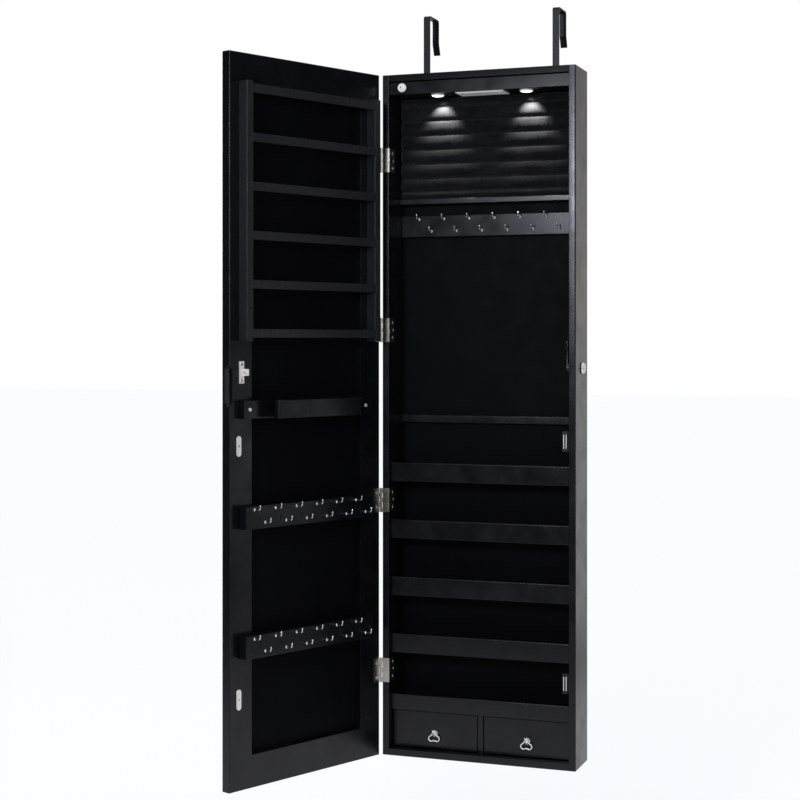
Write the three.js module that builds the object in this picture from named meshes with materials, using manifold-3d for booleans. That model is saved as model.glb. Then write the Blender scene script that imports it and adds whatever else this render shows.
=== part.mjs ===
// Jewelry mirror cabinet: a tall, shallow case that hangs over a room door by two strap hooks.
// Its own door carries a mirror outside, and an earring rack, a bracelet bar and two hook rails inside.
//
// Millimetres. X runs to the right, Y towards the wall behind the cabinet and Z up. The origin is on
// the line where the cabinet's back plane meets the top edge of the room door, midway between the
// strap hooks. The cabinet is modelled from its own bottom edge up and then hung from that line.

import * as THREE from 'three';
import { mergeVertices } from 'three/addons/utils/BufferGeometryUtils.js';
import Module from 'manifold-3d';

const wasm = await Module();
wasm.setup();

// ---------------------------------------------------------------- driving dimensions

const CASE = { width: 350, height: 1200, depth: 84, board: 12, arris: 1.5 };
const BACK = { thick: 3, recess: 4, groove: 4, battenHeight: 13, battenThick: 12, battenZ: 585 };
const SHELF = { count: 5, first: 79, pitch: 101, board: 9, setBack: 13 };
const LIP = { thick: 6, height: 33, lowHeight: 28, soft: 1 };
const RING_BAY = { height: 181, shelfBoard: 9, shelfSetBack: 54, padSetBack: 58, slots: 7, slotPitch: 25 };
const LIGHT = { drop: 35, fascia: 5, fasciaSetBack: 4, deck: 4, shadowGap: 1 };
const BATTERY = { length: 84, width: 40, setBack: 12, height: 14, flange: 1.5, flangeRim: 2 };
const LAMP = { inset: 94, setBack: 28, lens: 24, body: 19, height: 12, flange: 2.5 };
const SWITCH = { inset: 35.5, drop: 23, bezel: 15.5, bezelProud: 2, button: 10, buttonProud: 6.5 };
const RAIL = { height: 38, thick: 12, drop: 20, margin: 33.75 };
const DOOR_RAIL = { zs: [214.5, 424.5], thick: 17, margin: 18.25 };
const HOOK = { perRow: 6, wire: 1.2, reach: 13, tip: 5.5, rowZ: [10, 32], seat: 2 };
const DIVIDER = 10;
const DRAWER = { front: 10, setBack: 20, gap: 1, wall: 4, floor: 3, boxHeight: 52, behind: 2 };
const PULL = { z: 40, width: 22.4, bar: 0.9, standOff: 4.5, rosette: 6, eye: 2.8, eyeLength: 4 };
const LOCK = { above: 50, setBack: 45, body: 9, flange: 11, rim: 2, proud: 5, plug: 6, reach: 23, cam: 2 };
const STRIKE = { behindCam: 2.9, width: 10, thick: 1.5, reach: 18, lug: 11 };
const STRIKE_PIN = { radius: 2, standOff: 10, fall: 4.5 };
const CATCH = { above: [24.5, 26.5], height: 34, depth: 20, width: 11, flange: 1.5, wrap: 28, plate: 10 };
const DOOR = { thick: 20, gap: 5, stile: 48, rail: 54, soft: 4, openDeg: 113 };
const MIRROR = { thick: 4, border: 35, sunk: 1 };
const RACK = { drop: 48, aboveLock: 46, cheek: 14, inset: 19, proud: 21, bars: 6, below: 13, above: 11.5 };
const BAR = { height: 14, thick: 5, slots: 26, slotWidth: 1.5, slotDepth: 3, tenon: 4 };
const BRACELET = { above: 27.5, height: 30, board: 12, block: 48, standOff: 16, bar: 11, barInset: 51.5 };
const FIXTURE_SPAN = { hingeSide: 34, freeSide: 21 };
const HINGE = { fromEnds: [150, 450], height: 42, leaf: 1.5, wrap: 26, doorLeaf: 14 };
const KNUCKLE = { count: 5, radius: 2.5, pin: 1, pinX: -1.5 };
const STRAP = { inset: 55.5, width: 12, thick: 2.5, bend: 4, below: 90, above: 114 };
const THROAT = { depth: 45, leg: 40, flare: 20 };
const FINGER_GROOVE = { drop: 108, length: 71, radius: 9, taper: 8, out: 2, in: 4 };

// Clearances: seat is left between fixed pieces on the door, run between pieces that move, notch round
// pieces let into others, and loose round the pull ring's bar.
const GAP = { seat: 0.3, run: 0.3, notch: 0.5, loose: 0.6 };

// ---------------------------------------------------------------- places worked out from them

const halfWidth = CASE.width / 2;
const innerHalf = halfWidth - CASE.board;
const innerTop = CASE.height - CASE.board;
const innerBottom = CASE.board;
const caseFront = -CASE.depth;
const fromFront = (depth) => caseFront + depth;
const backRear = -BACK.recess;
const backFront = backRear - BACK.thick;
const doorInner = caseFront - DOOR.gap;
const doorOuter = doorInner - DOOR.thick;
const fromHinge = (along) => along - halfWidth;
const pinAxis = new THREE.Vector2(fromHinge(KNUCKLE.pinX), caseFront - DOOR.gap / 2);
const pinPlace = [pinAxis.x, pinAxis.y, 0];
const drawerTop = SHELF.first - DRAWER.gap;
const lightZ = CASE.height - LIGHT.drop;
const ringShelfTop = lightZ - RING_BAY.height;
const ringShelfZ = ringShelfTop - RING_BAY.shelfBoard;
const caseRailZ = ringShelfZ - RAIL.drop - RAIL.height;
const shelfZs = Array.from({ length: SHELF.count }, (_, i) => SHELF.first + i * SHELF.pitch);
const lipHeights = shelfZs.map((_, i) => (i === 0 ? LIP.lowHeight : LIP.height));
const lipTops = [shelfZs[0] + lipHeights[0], shelfZs.at(-1) + lipHeights.at(-1)];
const catchZs = lipTops.map((top, i) => top + CATCH.above[i]);
const braceletZ = catchZs[1] + CATCH.height + BRACELET.above;
const lockZ = braceletZ + BRACELET.height + LOCK.above;
const rackTop = CASE.height - RACK.drop;
const rackBottom = lockZ + RACK.aboveLock;
const barPitch = (rackTop - rackBottom - RACK.below - RACK.above) / (RACK.bars - 1);
const hingeZs = [...HINGE.fromEnds, ...HINGE.fromEnds.map((inset) => CASE.height - inset).reverse()];
const strapX = halfWidth - STRAP.inset;
const camRight = halfWidth - LOCK.reach - GAP.run * 2;
const camLeft = camRight - LOCK.cam;

// ---------------------------------------------------------------- finishes

function finish(color, roughness, metalness) {
  return new THREE.MeshStandardMaterial({ color, roughness, metalness });
}

const BLACK_BOARD = finish(0x1b1c1f, 0.45, 0.0);
const BLACK_INSIDE = finish(0x101113, 0.6, 0.0);
const BLACK_VELVET = finish(0x0b0b0d, 0.95, 0.0);
const BLACK_STEEL = finish(0x1a1b1e, 0.4, 0.6);
const CHROME = finish(0xd6d6d8, 0.15, 1.0);
const NICKEL = finish(0xb9b3a6, 0.28, 1.0);
const WHITE_PLASTIC = finish(0xf2f2f0, 0.4, 0.0);
const LENS = finish(0xffffff, 0.2, 0.0);
const BLACK_PLASTIC = finish(0x141416, 0.5, 0.0);
const MIRROR_GLASS = finish(0xdfe6e8, 0.02, 1.0);

// ---------------------------------------------------------------- shaping

const X = new THREE.Vector3(1, 0, 0);
const Y = new THREE.Vector3(0, 1, 0);
const Z = new THREE.Vector3(0, 0, 1);
const FORWARD = new THREE.Vector3(0, -1, 0);

/** Turns a geometry made in its own x, y, z so that these run along the three given directions. */
function lay(geometry, alongX, alongY, alongZ) {
  return geometry.applyMatrix4(new THREE.Matrix4().makeBasis(alongX, alongY, alongZ));
}

/** A block between two opposite corners. */
function block([x0, y0, z0], [x1, y1, z1]) {
  const geometry = new THREE.BoxGeometry(x1 - x0, y1 - y0, z1 - z0);
  return geometry.translate((x0 + x1) / 2, (y0 + y1) / 2, (z0 + z1) / 2);
}

/** A flat shape from an outline of [u, v] points. */
const shapeOf = (outline) => new THREE.Shape(outline.map(([u, v]) => new THREE.Vector2(u, v)));

function extrude(outline, depth) {
  return new THREE.ExtrudeGeometry(shapeOf(outline), { depth, bevelEnabled: false });
}

/** Extrudes an (x, y) outline upwards from z0 to z1. */
const prismUp = (outline, z0, z1) => extrude(outline, z1 - z0).translate(0, 0, z0);

/** Extrudes a (y, z) outline to the right from x0 to x1. */
const prismAcross = (outline, x0, x1) => lay(extrude(outline, x1 - x0), Y, Z, X).translate(x0, 0, 0);

/** Extrudes an (x, z) outline forwards from yBack to yFront. */
function prismForward(outline, yBack, yFront) {
  return lay(extrude(outline, yBack - yFront), X, Z, FORWARD).translate(0, yBack, 0);
}

/** Revolves a (radius, height) profile about an axis through the given point. */
function turned(profile, axis, [x, y, z], segments = 24) {
  const points = profile.map(([radius, height]) => new THREE.Vector2(radius, height));
  const geometry = new THREE.LatheGeometry(points, segments);
  const across = Math.abs(axis.z) > 0.5 ? X.clone() : Z.clone();
  return lay(geometry, across, axis, across.clone().cross(axis)).translate(x, y, z);
}

/** A plain round bar between two heights along an axis. */
function roundBar(radius, from, to, axis, at, segments) {
  return turned([[0, from], [radius, from], [radius, to], [0, to]], axis, at, segments);
}

function toSolid(geometry) {
  const bare = new THREE.BufferGeometry();
  bare.setAttribute('position', geometry.getAttribute('position').clone());
  if (geometry.index) bare.setIndex(geometry.index.clone());
  const merged = mergeVertices(bare, 1e-4);
  const vertProperties = merged.getAttribute('position').array;
  const triVerts = new Uint32Array(merged.index.array);
  return new wasm.Manifold(new wasm.Mesh({ numProp: 3, vertProperties, triVerts }));
}

function toGeometry(solid) {
  const mesh = solid.getMesh();
  const geometry = new THREE.BufferGeometry();
  geometry.setAttribute('position', new THREE.BufferAttribute(new Float32Array(mesh.vertProperties), 3));
  geometry.setIndex(new THREE.BufferAttribute(new Uint32Array(mesh.triVerts), 1));
  geometry.computeVertexNormals();
  return geometry;
}

const fuse = (solids) => solids.reduce((whole, piece) => whole.add(piece));
const join = (...geometries) => toGeometry(fuse(geometries.map(toSolid)));
const carve = (body, tools) => tools.map(toSolid).reduce((rest, tool) => rest.subtract(tool), body);
const cut = (body, ...tools) => toGeometry(carve(toSolid(body), tools));
const common = (first, second) => toGeometry(toSolid(first).intersect(toSolid(second)));

/** Corner points of an arc, for outlines that carry a rounded corner. */
function arc(centreU, centreV, radius, fromDeg, toDeg, steps = 4) {
  return Array.from({ length: steps + 1 }, (_, i) => {
    const angle = THREE.MathUtils.degToRad(fromDeg + ((toDeg - fromDeg) * i) / steps);
    return [centreU + radius * Math.cos(angle), centreV + radius * Math.sin(angle)];
  });
}

function addPiece(group, name, geometry, material) {
  const mesh = new THREE.Mesh(geometry, material);
  mesh.name = name;
  group.add(mesh);
}

// ---------------------------------------------------------------- case

/** Side panel profile seen from above, with its softened front corner and the groove for the back. */
function sidePanel(side) {
  const outer = side * halfWidth;
  const inner = side * innerHalf;
  const soft = side * CASE.arris;
  const grooveFloor = inner + side * BACK.groove;
  const outline = [
    [outer, 0], [inner, 0], [inner, backRear], [grooveFloor, backRear], [grooveFloor, backFront],
    [inner, backFront], [inner, caseFront], [outer - soft, caseFront], [outer, caseFront + CASE.arris],
  ];
  return prismUp(side > 0 ? outline.reverse() : outline, 0, CASE.height);
}

/** Top panel, notched at the back where the two straps rise. */
function topPanel() {
  const notch = STRAP.width / 2 + GAP.notch;
  const outline = [[-innerHalf, caseFront], [innerHalf, caseFront], [innerHalf, 0]];
  for (const side of [1, -1]) {
    const centre = side * strapX;
    outline.push([centre + notch, 0], [centre + notch, backRear]);
    outline.push([centre - notch, backRear], [centre - notch, 0]);
  }
  outline.push([-innerHalf, 0]);
  return prismUp(outline, innerTop, CASE.height);
}

/** Hardboard back in the side grooves, with the batten that stiffens it across the middle. */
function backPanel() {
  const reach = innerHalf + BACK.groove;
  const sheet = block([-reach, backFront, innerBottom], [reach, backRear, innerTop]);
  const battenFront = backFront - BACK.battenThick;
  const battenTop = BACK.battenZ + BACK.battenHeight;
  const batten = block([-innerHalf, battenFront, BACK.battenZ], [innerHalf, backRear, battenTop]);
  return join(sheet, batten);
}

/** Shelf board with the upright lip along its front edge. */
function shelf(bottom, lipHeight) {
  const front = fromFront(SHELF.setBack);
  const lipBack = front + LIP.thick;
  const top = bottom + lipHeight;
  const { soft } = LIP;
  const outline = [
    [front, bottom], [backFront, bottom], [backFront, bottom + SHELF.board], [lipBack, bottom + SHELF.board],
    [lipBack, top - soft], [lipBack - soft, top], [front + soft, top], [front, top - soft],
  ];
  return prismAcross(outline, -innerHalf, innerHalf);
}

/** One bent wire hook: out of the rail, level, and up at its tip. */
function wireHook(x, y, z) {
  const { wire, reach, tip, seat } = HOOK;
  const path = new THREE.CatmullRomCurve3([
    new THREE.Vector3(x, y - seat, z), new THREE.Vector3(x, y + reach * 0.4, z - 0.8),
    new THREE.Vector3(x, y + reach * 0.8, z - 0.6), new THREE.Vector3(x, y + reach, z + tip * 0.35),
    new THREE.Vector3(x, y + reach + 0.5, z + tip),
  ]);
  const section = shapeOf(arc(0, 0, wire, 0, 300, 5));
  return new THREE.ExtrudeGeometry(section, { steps: 6, bevelEnabled: false, extrudePath: path });
}

/** Board with two staggered rows of hooks. It faces the room in the case and the case on the door. */
function hookRail(left, right, wallSide, { thick, margin }, bottom, facing) {
  const face = wallSide + facing * thick;
  const low = [left, Math.min(wallSide, face), bottom];
  const high = [right, Math.max(wallSide, face), bottom + RAIL.height];
  const middle = (left + right) / 2;
  const pitch = (right - left - 2 * margin) / (2 * HOOK.perRow - 1);
  const hooks = [];
  for (let i = 0; i < HOOK.perRow * 2; i += 1) {
    const x = middle + (i - HOOK.perRow + 0.5) * pitch;
    const hook = wireHook(0, 0, bottom + HOOK.rowZ[(i + (facing < 0 ? 1 : 0)) % 2]);
    if (facing < 0) hook.rotateZ(Math.PI);
    hooks.push(hook.translate(x, face, 0));
  }
  return join(block(low, high), ...hooks);
}

function buildCarcass(cabinet) {
  const shelfFrontInner = fromFront(RING_BAY.shelfSetBack);
  const lockPlace = [0, fromFront(LOCK.setBack), lockZ];
  const lockHole = roundBar(LOCK.body + GAP.run, innerHalf - 1, halfWidth + 1, X, lockPlace);
  addPiece(cabinet, 'side_panel_left', sidePanel(-1), BLACK_BOARD);
  addPiece(cabinet, 'side_panel_right', cut(sidePanel(1), lockHole), BLACK_BOARD);
  addPiece(cabinet, 'top_panel', topPanel(), BLACK_BOARD);
  const bottomPanel = block([-innerHalf, caseFront, 0], [innerHalf, 0, innerBottom]);
  addPiece(cabinet, 'bottom_panel', bottomPanel, BLACK_BOARD);
  addPiece(cabinet, 'back_panel', backPanel(), BLACK_INSIDE);
  shelfZs.forEach((bottom, i) => {
    addPiece(cabinet, `shelf_${i + 1}`, shelf(bottom, lipHeights[i]), BLACK_BOARD);
  });
  const ringShelf = block([-innerHalf, shelfFrontInner, ringShelfZ], [innerHalf, backFront, ringShelfTop]);
  addPiece(cabinet, 'ring_shelf', ringShelf, BLACK_BOARD);
  const rail = hookRail(-innerHalf, innerHalf, backFront, RAIL, caseRailZ, -1);
  addPiece(cabinet, 'necklace_rail', rail, BLACK_BOARD);
  const half = DIVIDER / 2;
  const divider = block([-half, fromFront(DRAWER.setBack), innerBottom], [half, backFront, SHELF.first]);
  addPiece(cabinet, 'drawer_divider', divider, BLACK_BOARD);
}

// ---------------------------------------------------------------- ring pad and light box

/** Velvet ring pad: padded rolls with a slot between each pair, closed at the back. */
function ringCushion() {
  const clear = GAP.notch;
  const front = fromFront(RING_BAY.padSetBack);
  const back = backFront - clear;
  const bottom = ringShelfTop + clear;
  const top = lightZ - clear;
  const firstSlot = top - (top - bottom - RING_BAY.slotPitch * (RING_BAY.slots - 1)) / 2;
  const slotHeights = Array.from({ length: RING_BAY.slots }, (_, i) => firstSlot - i * RING_BAY.slotPitch);
  const edges = [top, ...slotHeights, bottom];
  const slotHalf = 0.8;
  const slotFloor = front + 8;
  const outline = [[back, bottom], [back, top]];
  for (let i = 0; i < edges.length - 1; i += 1) {
    const high = edges[i] - (i === 0 ? 0 : slotHalf);
    const low = edges[i + 1] + (i === edges.length - 2 ? 0 : slotHalf);
    const crown = Math.min(6, (high - low) / 2 - 0.5);
    outline.push(...arc(front + crown, high - crown, crown, 90, 180, 3));
    outline.push(...arc(front + crown, low + crown, crown, 180, 270, 3));
    if (i < edges.length - 2) outline.push([slotFloor, low], [slotFloor, low - 2 * slotHalf]);
  }
  return prismAcross(outline.reverse(), -innerHalf + clear, innerHalf - clear);
}

/** Fascia and deck of the light box, cut for the battery box, the lamps and the switch. */
function lightHousing() {
  const front = fromFront(LIGHT.fasciaSetBack);
  const { fascia, deck } = LIGHT;
  const underside = lightZ;
  const fasciaTop = innerTop - LIGHT.shadowGap;
  const outline = [
    [front, underside], [backFront, underside], [backFront, underside + deck],
    [front + fascia, underside + deck], [front + fascia, fasciaTop], [front, fasciaTop],
  ];
  const halfLength = BATTERY.length / 2;
  const bayFront = fromFront(BATTERY.setBack);
  const below = underside - 1;
  const above = underside + deck + 1;
  const bay = block([-halfLength, bayFront, below], [halfLength, bayFront + BATTERY.width, above]);
  const lampHole = LAMP.body / 2 + GAP.run;
  const lampHoles = [-1, 1].map((side) => roundBar(lampHole, below, above, Z, lampPlace(side)));
  const switchHole = roundBar(switchShank(), front - 1, front + fascia + 1, Y, [switchX, 0, switchZ]);
  return cut(prismAcross(outline, -innerHalf, innerHalf), bay, ...lampHoles, switchHole);
}

const lampPlace = (side) => [side * (halfWidth - LAMP.inset), fromFront(LAMP.setBack), 0];
const switchX = fromHinge(SWITCH.inset);
const switchZ = CASE.height - SWITCH.drop;
const switchShank = () => SWITCH.button / 2 + 1.5;

/** Battery box let into the deck, with its cover as a thin flange below. */
function batteryBox() {
  const halfLength = BATTERY.length / 2 - GAP.run;
  const front = fromFront(BATTERY.setBack) + GAP.run;
  const back = fromFront(BATTERY.setBack) + BATTERY.width - GAP.run;
  const rim = BATTERY.flangeRim;
  const base = lightZ - BATTERY.flange;
  const body = block([-halfLength, front, base], [halfLength, back, lightZ + BATTERY.height]);
  const flange = block([-halfLength - rim, front - rim, base], [halfLength + rim, back + rim, lightZ]);
  return join(body, flange);
}

function ledLamp(side) {
  const base = lightZ - LAMP.flange;
  const dome = 1;
  const lens = LAMP.lens / 2;
  const profile = [
    [0, base - dome], [lens - 3, base - dome], [lens, base + dome], [lens, lightZ],
    [LAMP.body / 2, lightZ], [LAMP.body / 2, lightZ + LAMP.height], [0, lightZ + LAMP.height],
  ];
  return turned(profile, Z, lampPlace(side));
}

/** Round switch rim with its shank through the fascia, bored for the button. */
function switchBezel() {
  const front = fromFront(LIGHT.fasciaSetBack);
  const face = front - SWITCH.bezelProud;
  const bore = SWITCH.button / 2 + GAP.run;
  const shank = switchShank() - GAP.run;
  const rim = SWITCH.bezel / 2;
  const profile = [
    [bore, face], [rim - 1, face], [rim, face + 1], [rim, front], [shank, front],
    [shank, front + LIGHT.fascia], [bore, front + LIGHT.fascia], [bore, face],
  ];
  return turned(profile, Y, [switchX, 0, switchZ]);
}

function switchButton() {
  const front = fromFront(LIGHT.fasciaSetBack) - SWITCH.bezelProud - SWITCH.buttonProud;
  const radius = SWITCH.button / 2;
  const back = fromFront(LIGHT.fasciaSetBack) + LIGHT.fascia;
  const crown = 1.5;
  const shoulder = front + crown;
  const dome = [[0, front], [radius * 0.6, front + crown / 4], [radius, shoulder]];
  const profile = [...dome, [radius, back], [0, back]];
  return turned(profile, Y, [switchX, 0, switchZ]);
}

function buildLightBox(cabinet) {
  addPiece(cabinet, 'ring_cushion', ringCushion(), BLACK_VELVET);
  addPiece(cabinet, 'light_housing', lightHousing(), BLACK_BOARD);
  addPiece(cabinet, 'battery_box', batteryBox(), WHITE_PLASTIC);
  addPiece(cabinet, 'led_lamp_left', ledLamp(-1), LENS);
  addPiece(cabinet, 'led_lamp_right', ledLamp(1), LENS);
  addPiece(cabinet, 'switch_bezel', switchBezel(), WHITE_PLASTIC);
  addPiece(cabinet, 'switch_button', switchButton(), WHITE_PLASTIC);
}

// ---------------------------------------------------------------- drawers

const drawerWidth = innerHalf - DIVIDER / 2;

function drawerBox(left, right) {
  const front = fromFront(DRAWER.setBack) + DRAWER.front;
  const floor = innerBottom + DRAWER.gap;
  const low = [left + DRAWER.gap, front, floor];
  const high = [right - DRAWER.gap, backFront - DRAWER.behind, floor + DRAWER.boxHeight];
  const hollowLow = [low[0] + DRAWER.wall, low[1] + DRAWER.wall, low[2] + DRAWER.floor];
  const hollowHigh = [high[0] - DRAWER.wall, high[1] - DRAWER.wall, high[2] + 1];
  return cut(block(low, high), block(hollowLow, hollowHigh));
}

/** Rosette on the drawer front, with the bored eye that holds the ring and a small crown above it. */
function pullBase(x) {
  const face = fromFront(DRAWER.setBack);
  const centre = face - PULL.standOff;
  const dish = [[0, 0], [PULL.rosette, 0], [PULL.rosette - 0.5, 1], [PULL.rosette / 2, 2], [0, 2]];
  const rosette = turned(dish, FORWARD, [x, face, PULL.z], 12);
  const half = PULL.eyeLength / 2;
  const eye = roundBar(PULL.eye, -half, half, X, [x, centre, PULL.z], 16);
  const neck = block([x - half + 0.3, centre, PULL.z - 1.5], [x + half - 0.3, face - 1, PULL.z + 1.5]);
  const crown = [-28, 0, 28].map((lean) => {
    const point = new THREE.ConeGeometry(1.1, 4.4, 8).translate(0, PULL.eye + 1.8, 0);
    return lay(point.rotateZ(THREE.MathUtils.degToRad(lean)), X, Z, FORWARD).translate(x, centre, PULL.z);
  });
  const bore = roundBar(PULL.bar + GAP.loose, -half - 1, half + 1, X, [x, centre, PULL.z], 12);
  return cut(join(rosette, neck, eye, ...crown), bore);
}

/** Cast ring: a straight bar in the eye, shoulders that flare, and a lower edge with two lobes. */
function pullRing(x) {
  const reach = PULL.width / 2 - PULL.bar;
  const shoulder = [[3.4, 0], [5, -2.4], [reach - 1.6, -4.8]];
  const lobe = [[reach, -8.4], [reach - 1.8, -12], [reach - 5.4, -13.2], [2.2, -12.2]];
  const right = [...shoulder, ...lobe];
  const left = right.map(([u, v]) => [-u, v]).reverse();
  const points = [[0, 0], ...right, [0, -11.6], ...left].map(([u, v]) => new THREE.Vector3(u, v, 0));
  const middle = new THREE.CatmullRomCurve3(points, true, 'catmullrom', 0.35);
  const steps = 36;
  const rim = (offset) => Array.from({ length: steps }, (_, i) => {
    const at = middle.getPoint(i / steps);
    const along = middle.getTangent(i / steps);
    return [at.x + along.y * offset, at.y - along.x * offset];
  });
  const centre = fromFront(DRAWER.setBack) - PULL.standOff;
  const outer = prismForward(rim(-PULL.bar), centre + PULL.bar, centre - PULL.bar);
  const inner = prismForward(rim(PULL.bar), centre + PULL.bar + 1, centre - PULL.bar - 1);
  return cut(outer, inner).translate(x, 0, PULL.z);
}

function buildDrawers(cabinet) {
  for (const [side, name] of [[-1, 'left'], [1, 'right']]) {
    const left = side < 0 ? -innerHalf : DIVIDER / 2;
    const right = left + drawerWidth;
    const middle = (left + right) / 2;
    const face = fromFront(DRAWER.setBack);
    const bottom = innerBottom + GAP.notch;
    const far = [right - DRAWER.gap, face + DRAWER.front, drawerTop];
    const front = block([left + DRAWER.gap, face, bottom], far);
    addPiece(cabinet, `drawer_front_${name}`, front, BLACK_BOARD);
    addPiece(cabinet, `drawer_box_${name}`, drawerBox(left + DRAWER.gap, right - DRAWER.gap), BLACK_INSIDE);
    addPiece(cabinet, `pull_base_${name}`, pullBase(middle), CHROME);
    addPiece(cabinet, `pull_ring_${name}`, pullRing(middle), CHROME);
  }
}

// ---------------------------------------------------------------- lock, catches and straps

const lockY = fromFront(LOCK.setBack);
const strikePinY = doorInner + STRIKE_PIN.standOff;
const strikePinZ = lockZ - STRIKE_PIN.fall;

/** Lock barrel through the side panel: a flange outside, and the nut that clamps it inside. */
function lockBarrel() {
  const bore = LOCK.plug + GAP.run;
  const inner = halfWidth - LOCK.reach;
  const { body, flange, rim } = LOCK;
  const face = halfWidth + LOCK.proud;
  const nut = body + 3;
  const nutBack = innerHalf - 4;
  const profile = [
    [bore, inner], [body, inner], [body, nutBack], [nut, nutBack], [nut, innerHalf], [body, innerHalf],
    [body, halfWidth], [flange, halfWidth], [flange, halfWidth + rim / 2],
    [flange - 1, halfWidth + rim], [body, halfWidth + rim], [body - 1, face], [bore, face], [bore, inner],
  ];
  return turned(profile, X, [0, lockY, lockZ]);
}

/** Plug with its key slot, and the hooked cam that drops over the strike's pin when locked. */
function lockPlug() {
  const faceX = halfWidth + LOCK.proud + GAP.run;
  const plug = roundBar(LOCK.plug, camLeft, faceX, X, [0, lockY, lockZ], 24);
  const keySlot = block([faceX - 4, lockY - 0.7, lockZ - 3.5], [faceX + 1, lockY + 0.7, lockZ + 3.5]);
  const reach = lockY - strikePinY;
  const drop = lockZ - strikePinZ;
  const slot = STRIKE_PIN.radius + GAP.notch;
  const head = 5.5;
  // Outline with the cam upright: u is the distance in front of the plug's axis, v the height above it.
  const cam = [
    ...arc(0, 0, 7, 0, -180, 6), [-4.5, reach - 9], [-3, reach + head],
    [drop + 3, reach + head], [drop + 4.5, reach + head - 1.5],
    [drop + 4.5, reach + slot], ...arc(drop, reach, slot, 90, 270, 6), [drop + 4.5, reach - slot],
    [drop + 4.5, reach - head], [4.5, reach - 12],
  ].map(([u, v]) => [-u, v]);
  const plate = prismAcross(cam, camLeft, camRight).translate(0, lockY, lockZ);
  return cut(join(plug, plate), keySlot);
}

/** Strike on the door: a plate, and a lug that carries the pin for the cam. */
function lockStrike() {
  const lift = doorInner + GAP.seat;
  const left = camLeft - STRIKE.behindCam - STRIKE.thick;
  const halfLug = STRIKE.lug / 2;
  const far = [left + STRIKE.width, lift + STRIKE.thick, strikePinZ + STRIKE.reach];
  const plate = block([left, lift, strikePinZ - STRIKE.reach], far);
  const lugTip = strikePinY + STRIKE_PIN.radius + STRIKE.thick;
  const lug = block([left, lift, strikePinZ - halfLug], [left + STRIKE.thick, lugTip, strikePinZ + halfLug]);
  const pinPlace = [0, strikePinY, strikePinZ];
  const pin = roundBar(STRIKE_PIN.radius, left + STRIKE.thick / 2, camRight + LOCK.cam, X, pinPlace, 12);
  return join(plate, lug, pin);
}

/** Magnetic catch on the right inner wall, seen from above and extruded over its height. */
function magneticCatch(bottom) {
  const nose = doorInner + GAP.seat + 1.5 + GAP.notch;
  const flange = innerHalf - CATCH.flange;
  const left = innerHalf - CATCH.width;
  const tail = nose + CATCH.depth;
  const wrapEnd = caseFront + CATCH.wrap;
  const outline = [
    [left, nose], [flange, nose], [flange, caseFront], [innerHalf, caseFront], [innerHalf, wrapEnd],
    [flange, wrapEnd], [flange, tail], [left + 2, tail], [left, tail - 2],
  ];
  return prismUp(outline, bottom, bottom + CATCH.height);
}

/** Rounds the corners of a bent strap's centre line and gives its points with their directions. */
function bentLine(corners, radius, steps) {
  const line = [];
  const vectors = corners.map(([u, v]) => new THREE.Vector2(u, v));
  vectors.forEach((corner, i) => {
    const into = i > 0 ? corner.clone().sub(vectors[i - 1]).normalize() : null;
    const out = i < vectors.length - 1 ? vectors[i + 1].clone().sub(corner).normalize() : null;
    if (!into || !out) {
      line.push({ at: corner, along: into ?? out });
      return;
    }
    const turn = Math.atan2(into.cross(out), into.dot(out));
    const trim = radius * Math.tan(Math.abs(turn) / 2);
    const start = corner.clone().addScaledVector(into, -trim);
    const side = Math.sign(turn);
    const centre = start.clone().add(new THREE.Vector2(-into.y, into.x).multiplyScalar(side * radius));
    for (let k = 0; k <= steps; k += 1) {
      const angle = (turn * k) / steps;
      const at = start.clone().rotateAround(centre, angle);
      line.push({ at, along: into.clone().rotateAround(new THREE.Vector2(), angle) });
    }
  });
  return line;
}

/** Over-door hook: a flat strap screwed to the back, bent over the room door and flared at its end. */
function overDoorHook(side) {
  const half = STRAP.thick / 2;
  const seatZ = CASE.height + STRAP.above;
  const frontLeg = backRear + half;
  const rearLeg = THROAT.depth + half;
  const legEnd = seatZ - THROAT.leg;
  const line = bentLine([
    [frontLeg, CASE.height - STRAP.below], [frontLeg, seatZ + half], [rearLeg, seatZ + half],
    [rearLeg, legEnd], [rearLeg + THROAT.flare * 0.4, legEnd - THROAT.flare],
  ], STRAP.bend, 5);
  const offset = (amount) => line.map(({ at, along }) => [at.x - along.y * amount, at.y + along.x * amount]);
  const outline = [...offset(half), ...offset(-half).reverse()].reverse();
  const centre = side * strapX;
  return prismAcross(outline, centre - STRAP.width / 2, centre + STRAP.width / 2);
}

function buildHardware(cabinet) {
  addPiece(cabinet, 'lock_barrel', lockBarrel(), CHROME);
  addPiece(cabinet, 'lock_plug', lockPlug(), CHROME);
  catchZs.forEach((bottom, i) => {
    addPiece(cabinet, `magnetic_catch_${['lower', 'upper'][i]}`, magneticCatch(bottom), BLACK_PLASTIC);
  });
  addPiece(cabinet, 'over_door_hook_left', overDoorHook(-1), BLACK_STEEL);
  addPiece(cabinet, 'over_door_hook_right', overDoorHook(1), BLACK_STEEL);
}

// ---------------------------------------------------------------- hinges

const knucklePitch = HINGE.height / KNUCKLE.count;

/** Bottom and top of one knuckle, with the running gap to its neighbours taken off. */
function knuckleSpan(bottom, index) {
  const low = bottom + index * knucklePitch + (index > 0 ? GAP.run / 2 : 0);
  const high = bottom + (index + 1) * knucklePitch - (index < KNUCKLE.count - 1 ? GAP.run / 2 : 0);
  return [low, high];
}

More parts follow.
